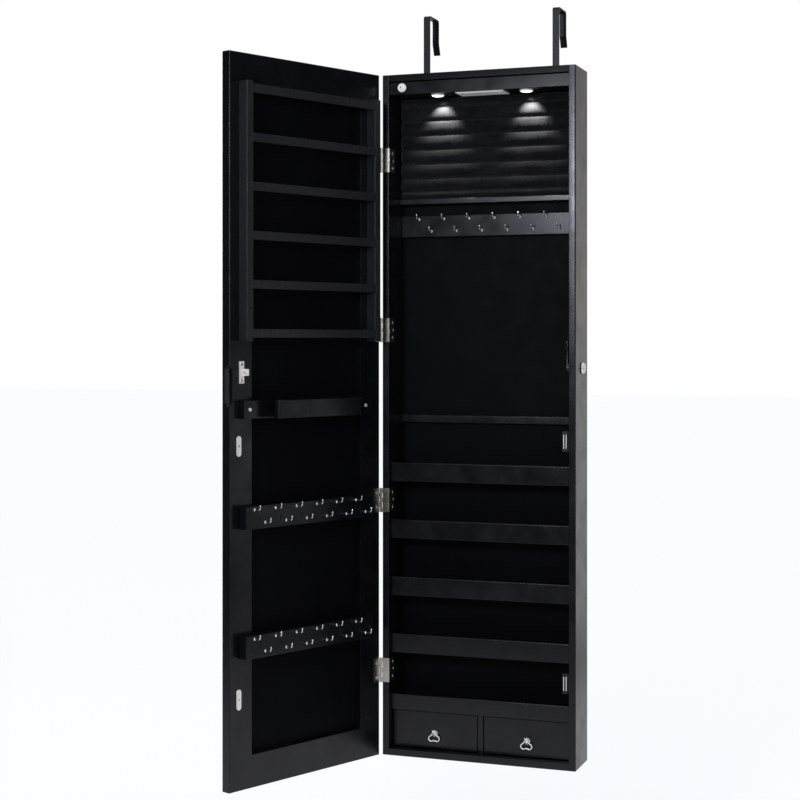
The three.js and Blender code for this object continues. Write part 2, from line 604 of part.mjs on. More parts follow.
/** Barrel pieces of one leaf, each with the tongue that ties it to the leaf's plate. */
function leafKnuckles(indices, bottom, plateY0, plateY1, bore) {
  const pieces = indices.map((index) => {
    const [low, high] = knuckleSpan(bottom, index);
    const barrel = roundBar(KNUCKLE.radius, low, high, Z, pinPlace, 16);
    const tongue = block([pinAxis.x, plateY0, low], [pinAxis.x + KNUCKLE.radius + 1.5, plateY1, high]);
    return toSolid(join(barrel, tongue));
  });
  const all = fuse(pieces);
  if (!bore) return toGeometry(all);
  const top = bottom + HINGE.height;
  const hole = roundBar(KNUCKLE.pin + GAP.run, bottom - 1, top + 1, Z, pinPlace, 12);
  return toGeometry(all.subtract(toSolid(hole)));
}

/** Case leaf: across the panel's front edge and round onto its inner face, with the fixed pin. */
function caseLeaf(centre) {
  const bottom = centre - HINGE.height / 2;
  const top = bottom + HINGE.height;
  const front = caseFront - HINGE.leaf;
  const start = pinAxis.x + KNUCKLE.radius + 0.5;
  const inner = -innerHalf;
  const bend = inner + HINGE.leaf;
  const outline = [
    [start, front], [bend - 0.5, front], [bend, front + 0.5], [bend, caseFront + HINGE.wrap],
    [inner, caseFront + HINGE.wrap], [inner, caseFront], [start, caseFront],
  ];
  const barrels = leafKnuckles([0, 2, 4], bottom, front, caseFront, false);
  const pin = roundBar(KNUCKLE.pin, bottom - 1, top + 1, Z, pinPlace, 12);
  return join(prismUp(outline, bottom, top), barrels, pin);
}

/** Door leaf: flat on the door's inner face, with bored knuckles between those of the case leaf. */
function doorLeaf(centre) {
  const bottom = centre - HINGE.height / 2;
  const rear = doorInner + GAP.seat;
  const front = rear + HINGE.leaf - GAP.seat;
  const start = pinAxis.x + KNUCKLE.radius + 0.5;
  const plate = block([start, rear, bottom], [fromHinge(HINGE.doorLeaf), front, bottom + HINGE.height]);
  return join(plate, leafKnuckles([1, 3], bottom, rear, front, true));
}

// ---------------------------------------------------------------- door

/** Door frame: a board with softened outer edges, opened from both faces, and the finger groove. */
function doorFrame() {
  const { soft } = DOOR;
  const small = 1;
  const across = [
    [-halfWidth + small, doorInner], [-halfWidth, doorInner - small], [-halfWidth, doorOuter + soft],
    ...arc(-halfWidth + soft, doorOuter + soft, soft, 180, 270),
    ...arc(halfWidth - soft, doorOuter + soft, soft, 270, 360),
    [halfWidth, doorInner - small], [halfWidth - small, doorInner],
  ];
  const upright = [
    [doorInner, small], [doorInner, CASE.height - small], [doorInner - small, CASE.height],
    ...arc(doorOuter + soft, CASE.height - soft, soft, 90, 180),
    ...arc(doorOuter + soft, soft, soft, 180, 270),
    [doorInner - small, 0],
  ];
  const standing = prismUp(across, -1, CASE.height + 1);
  const board = common(standing, prismAcross(upright, -halfWidth - 1, halfWidth + 1));
  const mirrorBed = doorOuter + MIRROR.sunk + MIRROR.thick + GAP.seat;
  const recess = block(
    [-halfWidth + DOOR.stile, doorOuter, DOOR.rail],
    [halfWidth - DOOR.stile, doorInner + 1, CASE.height - DOOR.rail],
  );
  const rebate = block(
    [-halfWidth + MIRROR.border, doorOuter - 1, MIRROR.border],
    [halfWidth - MIRROR.border, mirrorBed, CASE.height - MIRROR.border],
  );
  const { length, radius, taper, out } = FINGER_GROOVE;
  const z = rackBottom - FINGER_GROOVE.drop;
  const groove = turned(
    [[0, z], [radius, z + taper], [radius, z + length - taper], [0, z + length]],
    Z, [halfWidth + out, doorInner - FINGER_GROOVE.in, 0], 20,
  );
  return cut(board, recess, rebate, groove);
}

function mirrorPane() {
  const clear = MIRROR.border + GAP.seat;
  const front = doorOuter + MIRROR.sunk;
  const low = [-halfWidth + clear, front, clear];
  return block(low, [halfWidth - clear, front + MIRROR.thick, CASE.height - clear]);
}

function doorPanel() {
  const clear = GAP.seat;
  const front = doorOuter + MIRROR.sunk + MIRROR.thick + clear;
  return block(
    [-halfWidth + DOOR.stile + clear, front, DOOR.rail + clear],
    [halfWidth - DOOR.stile - clear, front + BACK.thick, CASE.height - DOOR.rail - clear],
  );
}

const barCentre = (index) => rackBottom + RACK.below + index * barPitch;
const rackFace = doorInner + RACK.proud;

/** Rack cheek with a housing for the end of every earring bar. */
function rackCheek(side) {
  const outer = side * (halfWidth - RACK.inset);
  const inner = outer - side * RACK.cheek;
  const rear = doorInner + GAP.seat;
  const [left, right] = [outer, inner].sort((a, b) => a - b);
  const cheek = block([left, rear, rackBottom], [right, rackFace, rackTop]);
  const [from, to] = [inner - side, inner + side * BAR.tenon].sort((a, b) => a - b);
  const halfHousing = BAR.height / 2 + GAP.seat;
  const housings = Array.from({ length: RACK.bars }, (_, i) => block(
    [from, rackFace - BAR.thick - GAP.seat, barCentre(i) - halfHousing],
    [to, rackFace + 1, barCentre(i) + halfHousing],
  ));
  return cut(cheek, ...housings);
}

/** Earring bar: a thin slat whose top edge is sawn with slots for hooks and posts. */
function earringBar(index) {
  const half = halfWidth - RACK.inset - RACK.cheek + BAR.tenon - GAP.seat;
  const clear = halfWidth - RACK.inset - RACK.cheek;
  const low = barCentre(index) - BAR.height / 2;
  const high = barCentre(index) + BAR.height / 2;
  const pitch = (2 * clear) / BAR.slots;
  const slotFloor = high - BAR.slotDepth;
  const outline = [[-half, low], [half, low], [half, high]];
  for (let i = 0; i < BAR.slots; i += 1) {
    const centre = clear - pitch * (i + 0.5);
    const edge = BAR.slotWidth / 2;
    outline.push([centre + edge, high], [centre + edge, slotFloor]);
    outline.push([centre - edge, slotFloor], [centre - edge, high]);
  }
  outline.push([-half, high]);
  return prismForward(outline, rackFace, rackFace - BAR.thick);
}

const fixtureLeft = fromHinge(FIXTURE_SPAN.hingeSide);
const fixtureRight = halfWidth - FIXTURE_SPAN.freeSide;
const fixtureMiddle = (fixtureLeft + fixtureRight) / 2;

/** Board across the door with the block that holds the bracelet bar off it. */
function braceletMount() {
  const rear = doorInner + GAP.seat;
  const face = doorInner + BRACELET.board;
  const top = braceletZ + BRACELET.height;
  const half = BRACELET.block / 2;
  const board = block([fixtureLeft, rear, braceletZ], [fixtureRight, face, top]);
  const blockFace = face + BRACELET.standOff;
  return join(board, block([fixtureMiddle - half, rear, braceletZ], [fixtureMiddle + half, blockFace, top]));
}

/** Bracelet bar with rounded ends, open at both sides so that bracelets slide on. */
function braceletBar() {
  const rear = doorInner + BRACELET.board + BRACELET.standOff + GAP.seat;
  const front = rear + BRACELET.bar;
  const half = (fixtureRight - fixtureLeft) / 2 - BRACELET.barInset;
  const soft = 4;
  const left = fixtureMiddle - half;
  const right = fixtureMiddle + half;
  const outline = [
    [left, rear], [right, rear],
    ...arc(right - soft, front - soft, soft, 0, 90), ...arc(left + soft, front - soft, soft, 90, 180),
  ];
  return prismUp(outline, braceletZ, braceletZ + BRACELET.height);
}

function catchPlate(bottom) {
  const middle = innerHalf - CATCH.width / 2 - 1.5;
  const half = CATCH.plate / 2;
  const rear = doorInner + GAP.seat;
  const outline = [
    ...arc(middle, bottom + CATCH.height - half, half, 0, 180, 8),
    ...arc(middle, bottom + half, half, 180, 360, 8),
  ];
  return prismForward(outline, rear + 1.5, rear);
}

/** The door is modelled shut and then swung open about its hinge pins. */
function buildDoor(cabinet) {
  const swing = new THREE.Group();
  swing.position.set(pinAxis.x, pinAxis.y, 0);
  swing.rotation.z = -THREE.MathUtils.degToRad(DOOR.openDeg);
  const shut = new THREE.Group();
  shut.position.set(-pinAxis.x, -pinAxis.y, 0);
  swing.add(shut);
  cabinet.add(swing);

  addPiece(shut, 'door_frame', doorFrame(), BLACK_BOARD);
  addPiece(shut, 'door_panel', doorPanel(), BLACK_INSIDE);
  addPiece(shut, 'mirror_glass', mirrorPane(), MIRROR_GLASS);
  addPiece(shut, 'rack_cheek_hinge_side', rackCheek(-1), BLACK_BOARD);
  addPiece(shut, 'rack_cheek_free_side', rackCheek(1), BLACK_BOARD);
  for (let i = 0; i < RACK.bars; i += 1) addPiece(shut, `earring_bar_${i + 1}`, earringBar(i), BLACK_BOARD);
  addPiece(shut, 'bracelet_mount', braceletMount(), BLACK_BOARD);
  addPiece(shut, 'bracelet_bar', braceletBar(), BLACK_BOARD);
  const seated = { ...DOOR_RAIL, thick: DOOR_RAIL.thick - GAP.seat };
  DOOR_RAIL.zs.forEach((bottom, i) => {
    const rail = hookRail(fixtureLeft, fixtureRight, doorInner + GAP.seat, seated, bottom, 1);
    addPiece(shut, `door_rail_${['lower', 'upper'][i]}`, rail, BLACK_BOARD);
  });
  addPiece(shut, 'lock_strike', lockStrike(), NICKEL);
  catchZs.forEach((bottom, i) => {
    addPiece(shut, `catch_plate_${['lower', 'upper'][i]}`, catchPlate(bottom), NICKEL);
  });
  hingeZs.forEach((centre, i) => {
    addPiece(cabinet, `hinge_case_leaf_${i + 1}`, caseLeaf(centre), NICKEL);
    addPiece(shut, `hinge_door_leaf_${i + 1}`, doorLeaf(centre), NICKEL);
  });
}

// ---------------------------------------------------------------- assembly

const cabinet = new THREE.Group();
buildCarcass(cabinet);
buildLightBox(cabinet);
buildDrawers(cabinet);
buildHardware(cabinet);
buildDoor(cabinet);
cabinet.position.z = -(CASE.height + STRAP.above);

export default cabinet;
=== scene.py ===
"""Dresses the over-the-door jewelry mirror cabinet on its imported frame.

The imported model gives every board, rail and hinge its place. This script softens the boards' edges,
makes the hooks, pad, lamps, pulls, lock and screws in full, and gives each surface its finish.

Places are written in case millimetres: x from the case's left edge, y from its front edge towards the
wall, z from its bottom edge. Door pieces are made on the shut door and then swung open with it.
"""

from __future__ import annotations

import logging
import math
from dataclasses import dataclass, field
from enum import Enum
from typing import Sequence

import bmesh
import bpy
from mathutils import Matrix, Vector, noise

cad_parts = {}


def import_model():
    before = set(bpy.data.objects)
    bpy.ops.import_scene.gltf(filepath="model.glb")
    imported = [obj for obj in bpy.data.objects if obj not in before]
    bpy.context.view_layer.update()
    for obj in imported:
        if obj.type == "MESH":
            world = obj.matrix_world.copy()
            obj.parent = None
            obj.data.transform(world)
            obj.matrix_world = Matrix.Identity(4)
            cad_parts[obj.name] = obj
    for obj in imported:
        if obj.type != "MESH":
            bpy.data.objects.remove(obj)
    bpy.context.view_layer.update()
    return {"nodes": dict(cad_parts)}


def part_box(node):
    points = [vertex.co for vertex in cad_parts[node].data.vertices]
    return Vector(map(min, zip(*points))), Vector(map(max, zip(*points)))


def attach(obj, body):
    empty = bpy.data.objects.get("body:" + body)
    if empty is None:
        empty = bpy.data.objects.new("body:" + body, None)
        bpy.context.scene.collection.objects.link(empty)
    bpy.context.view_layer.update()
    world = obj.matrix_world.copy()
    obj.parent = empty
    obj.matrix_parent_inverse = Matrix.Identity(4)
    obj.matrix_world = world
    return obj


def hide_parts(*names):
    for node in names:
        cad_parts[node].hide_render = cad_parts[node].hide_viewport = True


LOG = logging.getLogger("mirror_cabinet")

BMesh = bmesh.types.BMesh
BMEdge = bmesh.types.BMEdge
BMVert = bmesh.types.BMVert
Material = bpy.types.Material
Socket = bpy.types.NodeSocket
Inputs = dict[str | int, object]
Pair = tuple[float, float]
Triple = tuple[float, float, float]
Outline = Sequence[Pair]

MM = 0.001
CASE_WIDTH = 350.0
CASE_DEPTH = 84.0
SEAT_HEIGHT = 1314.0
HINGE_PIN = (-1.5, -2.5)
DOOR_FACE = -5.0
DOOR_OPEN_DEGREES = 113.0
NOISE_RANGE = (0.3, 0.7)
RECESS_TURN = 20.0

TO_WALL = Vector((0, 1, 0))
TO_ROOM = Vector((0, -1, 0))
TO_RIGHT = Vector((1, 0, 0))
DOWN = Vector((0, 0, -1))


def place(x: float, y: float, z: float) -> Vector:
    """Turns case millimetres into a point of the row frame, in metres."""
    return Vector((x - CASE_WIDTH / 2, y - CASE_DEPTH, z - SEAT_HEIGHT)) * MM


def door_swing() -> Matrix:
    """Gives the turn that takes the shut door to its open rest.

    Returns:
        The turn about the hinge pins.
    """
    pin = Matrix.Translation(place(*HINGE_PIN, 0))
    turn = Matrix.Rotation(-math.radians(DOOR_OPEN_DEGREES), 4, "Z")
    return pin @ turn @ pin.inverted()


def off_door(u: float, off: float, z: float) -> Vector:
    """Gives a point on the shut door from its hinge edge, the height off its inner face, and z."""
    return place(u, DOOR_FACE + off, z)


class Rides(Enum):
    """The moving bodies that a piece can travel with."""

    CASE = "case"
    DOOR = "door"
    DRAWER_LEFT = "drawer_left"
    DRAWER_RIGHT = "drawer_right"
    PULL_LEFT = "pull_left"
    PULL_RIGHT = "pull_right"
    LOCK = "lock"
    SWITCH = "switch"


class Side(Enum):
    """The two sides of the cabinet, as seen from in front."""

    LEFT = -1
    RIGHT = 1

    @property
    def word(self) -> str:
        """The side's name in lower case."""
        return self.name.lower()


# ---------------------------------------------------------------- finishes


class Graph:
    """A node tree, with short ways to add and wire its nodes."""

    def __init__(self, tree: bpy.types.NodeTree) -> None:
        """Takes over a node tree and empties it."""
        self.tree = tree
        self.tree.nodes.clear()

    def wire(self, node: bpy.types.Node, inputs: Inputs) -> None:
        """Links inputs to other nodes' outputs, or sets them to plain values.

        Args:
            node: the node.
            inputs: what each of its inputs is linked or set to, by name or number.
        """
        for key, value in inputs.items():
            if isinstance(value, Socket):
                self.tree.links.new(value, node.inputs[key])
            else:
                node.inputs[key].default_value = value

    def add(self, kind: str, inputs: Inputs, operation: str = "") -> bpy.types.Node:
        """Adds a node and wires its inputs.

        Args:
            kind: the node's type.
            inputs: what each input is linked or set to.
            operation: what a math node does.

        Returns:
            The node.
        """
        node = self.tree.nodes.new(kind)
        if operation:
            node.operation = operation
        self.wire(node, inputs)
        return node

    def span(self, factor: Socket, start: float, end: float, low: object, high: object) -> Socket:
        """Maps a factor onto a range whose ends are numbers or other values.

        Args:
            factor: the incoming factor.
            start: the factor that gives low.
            end: the factor that gives high.
            low: the value at the start.
            high: the value at the end.

        Returns:
            The mapped value.
        """
        inputs = {"Value": factor, "From Min": start, "From Max": end, "To Min": low, "To Max": high}
        return self.add("ShaderNodeMapRange", inputs).outputs["Result"]

    def blend(self, factor: Socket, first: Triple | Socket, second: Triple) -> Socket:
        """Blends a colour or a socket's colour with a second colour.

        Args:
            factor: how far the blend goes to the second colour.
            first: the first colour.
            second: the second colour.

        Returns:
            The blended colour.
        """
        node = self.tree.nodes.new("ShaderNodeMix")
        node.data_type = "RGBA"
        start = first if isinstance(first, Socket) else (*first, 1)
        self.wire(node, {"Factor": factor, "A": start, "B": (*second, 1)})
        return node.outputs["Result"]


class Bench(Graph):
    """A small workbench for wiring one material's nodes."""

    def __init__(self, name: str) -> None:
        """Starts a material with a Principled shader and Object coordinates.

        Args:
            name: the material's name.
        """
        self.material = bpy.data.materials.new(name)
        self.material.use_nodes = True
        super().__init__(self.material.node_tree)
        self.shader = self.add("ShaderNodeBsdfPrincipled", {})
        surface = {"Surface": self.shader.outputs["BSDF"]}
        self.output = self.add("ShaderNodeOutputMaterial", surface)
        self.coords = self.add("ShaderNodeTexCoord", {}).outputs["Object"]

    def set(self, **values: object) -> None:
        """Sets the shader's own sockets, with spaces written as underscores."""
        for key, value in values.items():
            self.shader.inputs[key.replace("_", " ")].default_value = value

    def stretched(self, scale: Sequence[float]) -> Socket:
        """Gives Object coordinates that are stretched along X, Y and Z."""
        inputs = {"Scale": scale, "Vector": self.coords}
        return self.add("ShaderNodeMapping", inputs).outputs["Vector"]

    def noise(self, scale: float, detail: float = 2.0, vector: Socket | None = None) -> Socket:
        """Adds a noise texture.

        Args:
            scale: features per metre.
            detail: octaves.
            vector: the coordinates, Object ones if left out.

        Returns:
            The noise factor.
        """
        inputs = {"Scale": scale, "Detail": detail, "Vector": vector or self.coords}
        return self.add("ShaderNodeTexNoise", inputs).outputs["Fac"]

    def spread(self, factor: Socket, low: float, high: float) -> Socket:
        """Spreads a noise factor over a range of values."""
        return self.span(factor, *NOISE_RANGE, low, high)

    def tint(self, factor: Socket, dark: Sequence[float], light: Sequence[float]) -> Socket:
        """Blends two colours by a noise factor.

        Args:
            factor: the incoming factor.
            dark: the colour at its start.
            light: the colour at its end.

        Returns:
            The blended colour.
        """
        ramp = self.add("ShaderNodeValToRGB", {"Fac": factor})
        for stop, at, colour in zip(ramp.color_ramp.elements, NOISE_RANGE, (dark, light)):
            stop.position, stop.color = at, (*colour, 1)
        return ramp.outputs["Color"]

    def feed(self, socket: str, value: Socket) -> None:
        """Links a value to one of the shader's sockets."""
        self.tree.links.new(value, self.shader.inputs[socket])

    def emboss(self, height: Socket, strength: float, distance: float) -> None:
        """Raises the surface by a height factor, on top of what was embossed before.

        Args:
            height: the height factor.
            strength: how strongly it shows.
            distance: how high it stands, in metres.
        """
        inputs = {"Strength": strength, "Distance": distance, "Height": height}
        before = self.shader.inputs["Normal"].links
        if before:
            inputs["Normal"] = before[0].from_socket
        self.feed("Normal", self.add("ShaderNodeBump", inputs).outputs["Normal"])


def scaled(colour: Sequence[float], by: float) -> tuple[float, ...]:
    """Makes a colour darker or lighter by a factor."""
    return tuple(channel * by for channel in colour)


@dataclass(frozen=True)
class Finish:
    """What every finish has: the material's name, the slot that it fills and a base colour."""

    name: str
    slot: str
    colour: Triple

    def build(self) -> Material:
        """Builds the material.

        Returns:
            The material.
        """
        bench = Bench(self.name)
        self.apply(bench)
        return bench.material

    def apply(self, bench: Bench) -> None:
        """Wires the finish's own look onto a bench."""
        raise NotImplementedError


@dataclass(frozen=True)
class PaintedBoard(Finish):
    """Sprayed satin paint on fibreboard: fine orange peel, faint rub marks, slightly uneven gloss."""

    roughness: float
    sheen_of_paint: float = 0.26
    peel: float = 0.05

    def apply(self, bench: Bench) -> None:
        """Wires the look.

        Args:
            bench: the material's bench.
        """
        bench.set(Specular_IOR_Level=self.sheen_of_paint)
        clouds = bench.noise(7.0, 3.0)
        bench.feed("Base Color", bench.tint(clouds, scaled(self.colour, 0.82), scaled(self.colour, 1.2)))
        rub = bench.noise(26.0, 4.0)
        bench.feed("Roughness", bench.spread(rub, self.roughness - 0.05, self.roughness + 0.07))
        bench.emboss(bench.noise(1500.0, 2.0), self.peel, 0.0003)
        bench.emboss(bench.noise(160.0, 2.0), self.peel * 0.5, 0.0006)


@dataclass(frozen=True)
class Velvet(Finish):
    """Short black pile: a soft sheen, brushed patches and a fine nap."""

    def apply(self, bench: Bench) -> None:
        """Wires the look.

        Args:
            bench: the material's bench.
        """
        bench.set(Roughness=0.95, Specular_IOR_Level=0.1, Sheen_Weight=0.35, Sheen_Roughness=0.4)
        bench.set(Sheen_Tint=(0.35, 0.36, 0.4, 1))
        brushed = bench.noise(1.0, 3.0, bench.stretched((24, 60, 90)))
        bench.feed("Base Color", bench.tint(brushed, scaled(self.colour, 0.6), scaled(self.colour, 1.7)))
        bench.emboss(bench.noise(2600.0, 3.0), 0.5, 0.0006)
        bench.emboss(brushed, 0.15, 0.002)
        bench.emboss(bench.noise(1.0, 2.0, bench.stretched((130, 20, 14))), 0.6, 0.006)


@dataclass(frozen=True)
class Plated(Finish):
    """Plated steel or cast metal: hairline brushing, handling marks and a few dull spots."""

    roughness: float
    hairlines: float = 0.04
    metallic: float = 1.0

    def apply(self, bench: Bench) -> None:
        """Wires the look.

        Args:
            bench: the material's bench.
        """
        bench.set(Metallic=self.metallic)
        tarnish = bench.noise(90.0, 4.0)
        bench.feed("Base Color", bench.tint(tarnish, scaled(self.colour, 0.86), self.colour))
        lines = bench.noise(1.0, 2.0, bench.stretched((2600, 2600, 160)))
        spots = bench.noise(420.0, 3.0)
        bench.feed("Roughness", bench.spread(spots, self.roughness, self.roughness + 0.12))
        bench.emboss(lines, self.hairlines, 0.0002)


@dataclass(frozen=True)
class Coated(Finish):
    """Powder-coated steel strap with a fine pebble texture."""

    def apply(self, bench: Bench) -> None:
        """Wires the look.

        Args:
            bench: the material's bench.
        """
        bench.set(Specular_IOR_Level=0.35)
        pebble = bench.noise(2200.0, 2.0)
        clouds = bench.noise(40.0)
        bench.feed("Base Color", bench.tint(clouds, scaled(self.colour, 0.8), scaled(self.colour, 1.3)))
        bench.feed("Roughness", bench.spread(pebble, 0.34, 0.46))
        bench.emboss(pebble, 0.16, 0.0003)


@dataclass(frozen=True)
class Moulded(Finish):
    """Injection-moulded plastic with a spark-eroded grain."""

    roughness: float

    def apply(self, bench: Bench) -> None:
        """Wires the look.

        Args:
            bench: the material's bench.
        """
        bench.set(Specular_IOR_Level=0.4)
        bench.feed("Base Color", bench.tint(bench.noise(35.0), scaled(self.colour, 0.93), self.colour))
        grain = bench.noise(3000.0, 2.0)
        bench.feed("Roughness", bench.spread(grain, self.roughness - 0.04, self.roughness + 0.08))
        bench.emboss(grain, 0.08, 0.0002)


@dataclass(frozen=True)
class LitLens(Finish):
    """Frosted lamp lens, brighter over its diodes."""

    strength: float

    def apply(self, bench: Bench) -> None:
        """Wires the look.

        Args:
            bench: the material's bench.
        """
        bench.set(Roughness=0.3, Emission_Strength=self.strength)
        cells = bench.noise(260.0, 1.0)
        bench.feed("Base Color", bench.tint(cells, scaled(self.colour, 0.9), self.colour))
        bench.feed("Emission Color", bench.tint(cells, scaled(self.colour, 0.75), self.colour))
        bench.emboss(bench.noise(1800.0, 1.0), 0.1, 0.0003)


@dataclass(frozen=True)
class Silvered(Finish):
    """Silvered float glass: a bright face with the faintest waviness."""

    def apply(self, bench: Bench) -> None:
        """Wires the look.

        Args:
            bench: the material's bench.
        """
        bench.set(Metallic=1.0, Coat_Weight=0.2)
        haze = bench.noise(12.0, 3.0)
        bench.feed("Base Color", bench.tint(haze, scaled(self.colour, 0.97), self.colour))
        bench.feed("Roughness", bench.spread(haze, 0.012, 0.035))
        bench.emboss(bench.noise(3.0, 1.0), 0.02, 0.0005)


PAINT = (0.0022, 0.0024, 0.0028)
BRIGHT_PLATING = (0.86, 0.86, 0.87)
SATIN_BLACK = PaintedBoard("satin_black", "board", PAINT, 0.24, 0.42)
TOP_BLACK = PaintedBoard("top_black", "board", PAINT, 0.32, 0.12)
INNER_BLACK = PaintedBoard("inner_black", "inner_board", (0.0018, 0.002, 0.0024), 0.5, 0.05, 0.09)
FASCIA_BLACK = PaintedBoard("fascia_black", "board", PAINT, 0.24, 0.28)
RAIL_BLACK = PaintedBoard("rail_black", "board", (0.003, 0.0033, 0.0041), 0.24, 0.32)
RACK_BLACK = PaintedBoard("rack_black", "board", (0.011, 0.0118, 0.0138), 0.34, 0.42)
PAD_VELVET = Velvet("pad_velvet", "velvet", (0.0055, 0.0057, 0.0064))
TRAY_FELT = Velvet("tray_felt", "velvet", (0.004, 0.004, 0.0048))
CHROME = Plated("chrome", "chrome", BRIGHT_PLATING, 0.1, 0.02)
NICKEL = Plated("warm_nickel", "nickel", (0.78, 0.74, 0.66), 0.16, 0.015)
STRAP_COAT = Coated("strap_coat", "strap_steel", (0.0045, 0.0048, 0.0056))
WHITE_SHELL = Moulded("white_shell", "white_plastic", (0.95, 0.95, 0.94), 0.32)
# Dark plastic used only for the painted shade on the switch's tip.
SWITCH_SHADE = Moulded("switch_shade", "catch_plastic", (0.05, 0.05, 0.055), 0.5)
INDICATOR_RED = Moulded("indicator_red", "white_plastic", (0.62, 0.03, 0.025), 0.25)
CAST = Plated("cast_nickel", "chrome", (0.98, 0.96, 0.93), 0.18, 0.01, 0.45)
PLATE = Plated("plate_steel", "nickel", (0.95, 0.9, 0.84), 0.26, 0.01, 0.5)
HOOK_WIRE = Plated("hook_wire", "chrome", BRIGHT_PLATING, 0.16, 0.01)
# Dark plated steel for real screws, the lock's nut and cam, and also for the painted-shadow ring round the
# lock's flange.
DARK_SCREW_AND_SHADE = Plated("dark_screw_and_shade", "strap_steel", (0.05, 0.05, 0.055), 0.3)
CATCH_SHELL = Moulded("catch_shell", "catch_plastic", (0.006, 0.006, 0.007), 0.36)
LAMP_LENS = LitLens("lamp_lens", "lens", (1.0, 0.97, 0.9), 4.5)
MIRROR_FACE = Silvered("mirror_face", "mirror", (0.9, 0.92, 0.92))


class Palette:
    """Builds each finish once and hands it out."""

    def __init__(self) -> None:
        """Starts with nothing built."""
        self._built: dict[str, Material] = {}

    def material(self, finish: Finish) -> Material:
        """Gives a finish's material, and builds it the first time.

        Args:
            finish: the finish.

        Returns:
            Its material.
        """
        if finish.name not in self._built:
            self._built[finish.name] = finish.build()
        return self._built[finish.name]


PALETTE = Palette()

# ---------------------------------------------------------------- shaping


def add_block(bm: BMesh, low: Vector, high: Vector, soft: float = 0.0, segments: int = 2) -> None:
    """Adds a block with softened edges.

    Args:
        bm: the mesh to add to.
        low: its lowest corner.
        high: its highest corner.
        soft: how far the edges are rounded, in metres.
        segments: steps in each rounded edge.
    """
    made = bmesh.ops.create_cube(bm, size=1.0)["verts"]
    bmesh.ops.scale(bm, vec=high - low, verts=made)
    bmesh.ops.translate(bm, vec=(low + high) / 2, verts=made)
    if soft > 0:
        geom = edges_of(made)
        bmesh.ops.bevel(
            bm, geom=geom, offset=soft, segments=segments, profile=0.5, affect="EDGES", material=-1
        )


def edges_of(verts: Sequence[BMVert]) -> list[BMEdge]:
    """Lists the edges at some corners, each edge once."""
    return list(dict.fromkeys(edge for vert in verts for edge in vert.link_edges))


def grow(bm: BMesh, edges: Sequence[BMEdge]) -> tuple[list[BMVert], list[BMEdge]]:
    """Extrudes a loop of edges in place.

    Args:
        bm: the mesh that holds the loop.
        edges: the loop's edges.

    Returns:
        The new loop's corners and its edges.
    """
    grown = bmesh.ops.extrude_edge_only(bm, edges=edges)["geom"]
    verts = [item for item in grown if isinstance(item, BMVert)]
    fresh = [item for item in grown if isinstance(item, BMEdge)]
    return verts, [edge for edge in fresh if all(vert in verts for vert in edge.verts)]


def axes_along(axis: Vector) -> Matrix:
    """Gives a turn that takes Z to the axis."""
    return axis.normalized().to_track_quat("Z", "Y").to_matrix().to_4x4()


def merge_into(bm: BMesh, part: BMesh) -> None:
    """Adds a part to a mesh.

    Args:
        bm: the mesh to add to.
        part: the part, which is freed.
    """
    carrier = bpy.data.meshes.new("carrier")
    part.to_mesh(carrier)
    part.free()
    bm.from_mesh(carrier)
    bpy.data.meshes.remove(carrier)


def turned(profile: Outline, origin: Vector, axis: Vector, steps: int = 32) -> BMesh:
    """Spins a profile of radius and height, in millimetres, about an axis.

    Args:
        profile: radius and height pairs from one end to the other.
        origin: where height zero lies.
        axis: the direction of height.
        steps: steps round the turn.

    Returns:
        A new mesh of the turned shape.
    """
    bm = bmesh.new()
    points = [bm.verts.new((radius * MM, 0, height * MM)) for radius, height in profile]
    geom = points + [bm.edges.new(pair) for pair in zip(points, points[1:])]
    bmesh.ops.spin(
        bm, geom=geom, axis=(0, 0, 1), cent=(0, 0, 0), steps=steps, angle=math.tau, use_merge=True
    )
    bmesh.ops.remove_doubles(bm, verts=bm.verts[:], dist=1e-6)
    bmesh.ops.recalc_face_normals(bm, faces=bm.faces[:])
    bm.transform(Matrix.Translation(origin) @ axes_along(axis))
    return bm


def section_axis(path: Sequence[Vector]) -> Vector:
    """Gives a direction square to a path's plane, or to its line if it is straight.

    Args:
        path: the path's stations.

    Returns:
        The direction.
    """
    chord = path[len(path) // 3] - path[0]
    normal = chord.cross(path[2 * len(path) // 3] - path[0])
    return (chord.orthogonal() if normal.length < 1e-9 else normal).normalized()


def add_tube(
    bm: BMesh, path: Sequence[Vector], radii: Sequence[float], sides: int = 10, closed: bool = False
) -> None:
    """Sweeps a round section along a path by extruding it from station to station.

    Args:
        bm: the mesh to add to.
        path: the stations, in metres.
        radii: the section's radius at each station.
        sides: sides of the section.
        closed: whether the last station joins the first.
    """
    tube = bmesh.new()
    count = len(path)
    reference = section_axis(path)

    def frame_at(index: int) -> Matrix:
        """Gives the section's place and direction at a station.

        Args:
            index: the station.

        Returns:
            The matrix that takes a unit circle there.
        """
        ahead = path[(index + 1) % count] if closed or index < count - 1 else path[index]
        behind = path[index - 1] if closed or index > 0 else path[index]
        along = (ahead - behind).normalized()
        side = reference.cross(along).normalized()
        turn = Matrix((side, along.cross(side), along)).transposed().to_4x4()
        return Matrix.Translation(path[index]) @ turn @ Matrix.Scale(radii[index], 4)

    ring = bmesh.ops.create_circle(tube, cap_ends=False, segments=sides, radius=1.0)["verts"]
    first = edges_of(ring)
    bmesh.ops.transform(tube, matrix=frame_at(0), verts=ring)
    edges = first
    for index in range(1, count):
        ring, edges = grow(tube, edges)
        step = frame_at(index) @ frame_at(index - 1).inverted()
        bmesh.ops.transform(tube, matrix=step, verts=ring)
    if closed:
        bmesh.ops.bridge_loops(tube, edges=first + edges)
    else:
        bmesh.ops.contextual_create(tube, geom=first)
        bmesh.ops.contextual_create(tube, geom=edges)
    bmesh.ops.recalc_face_normals(tube, faces=tube.faces[:])
    merge_into(bm, tube)


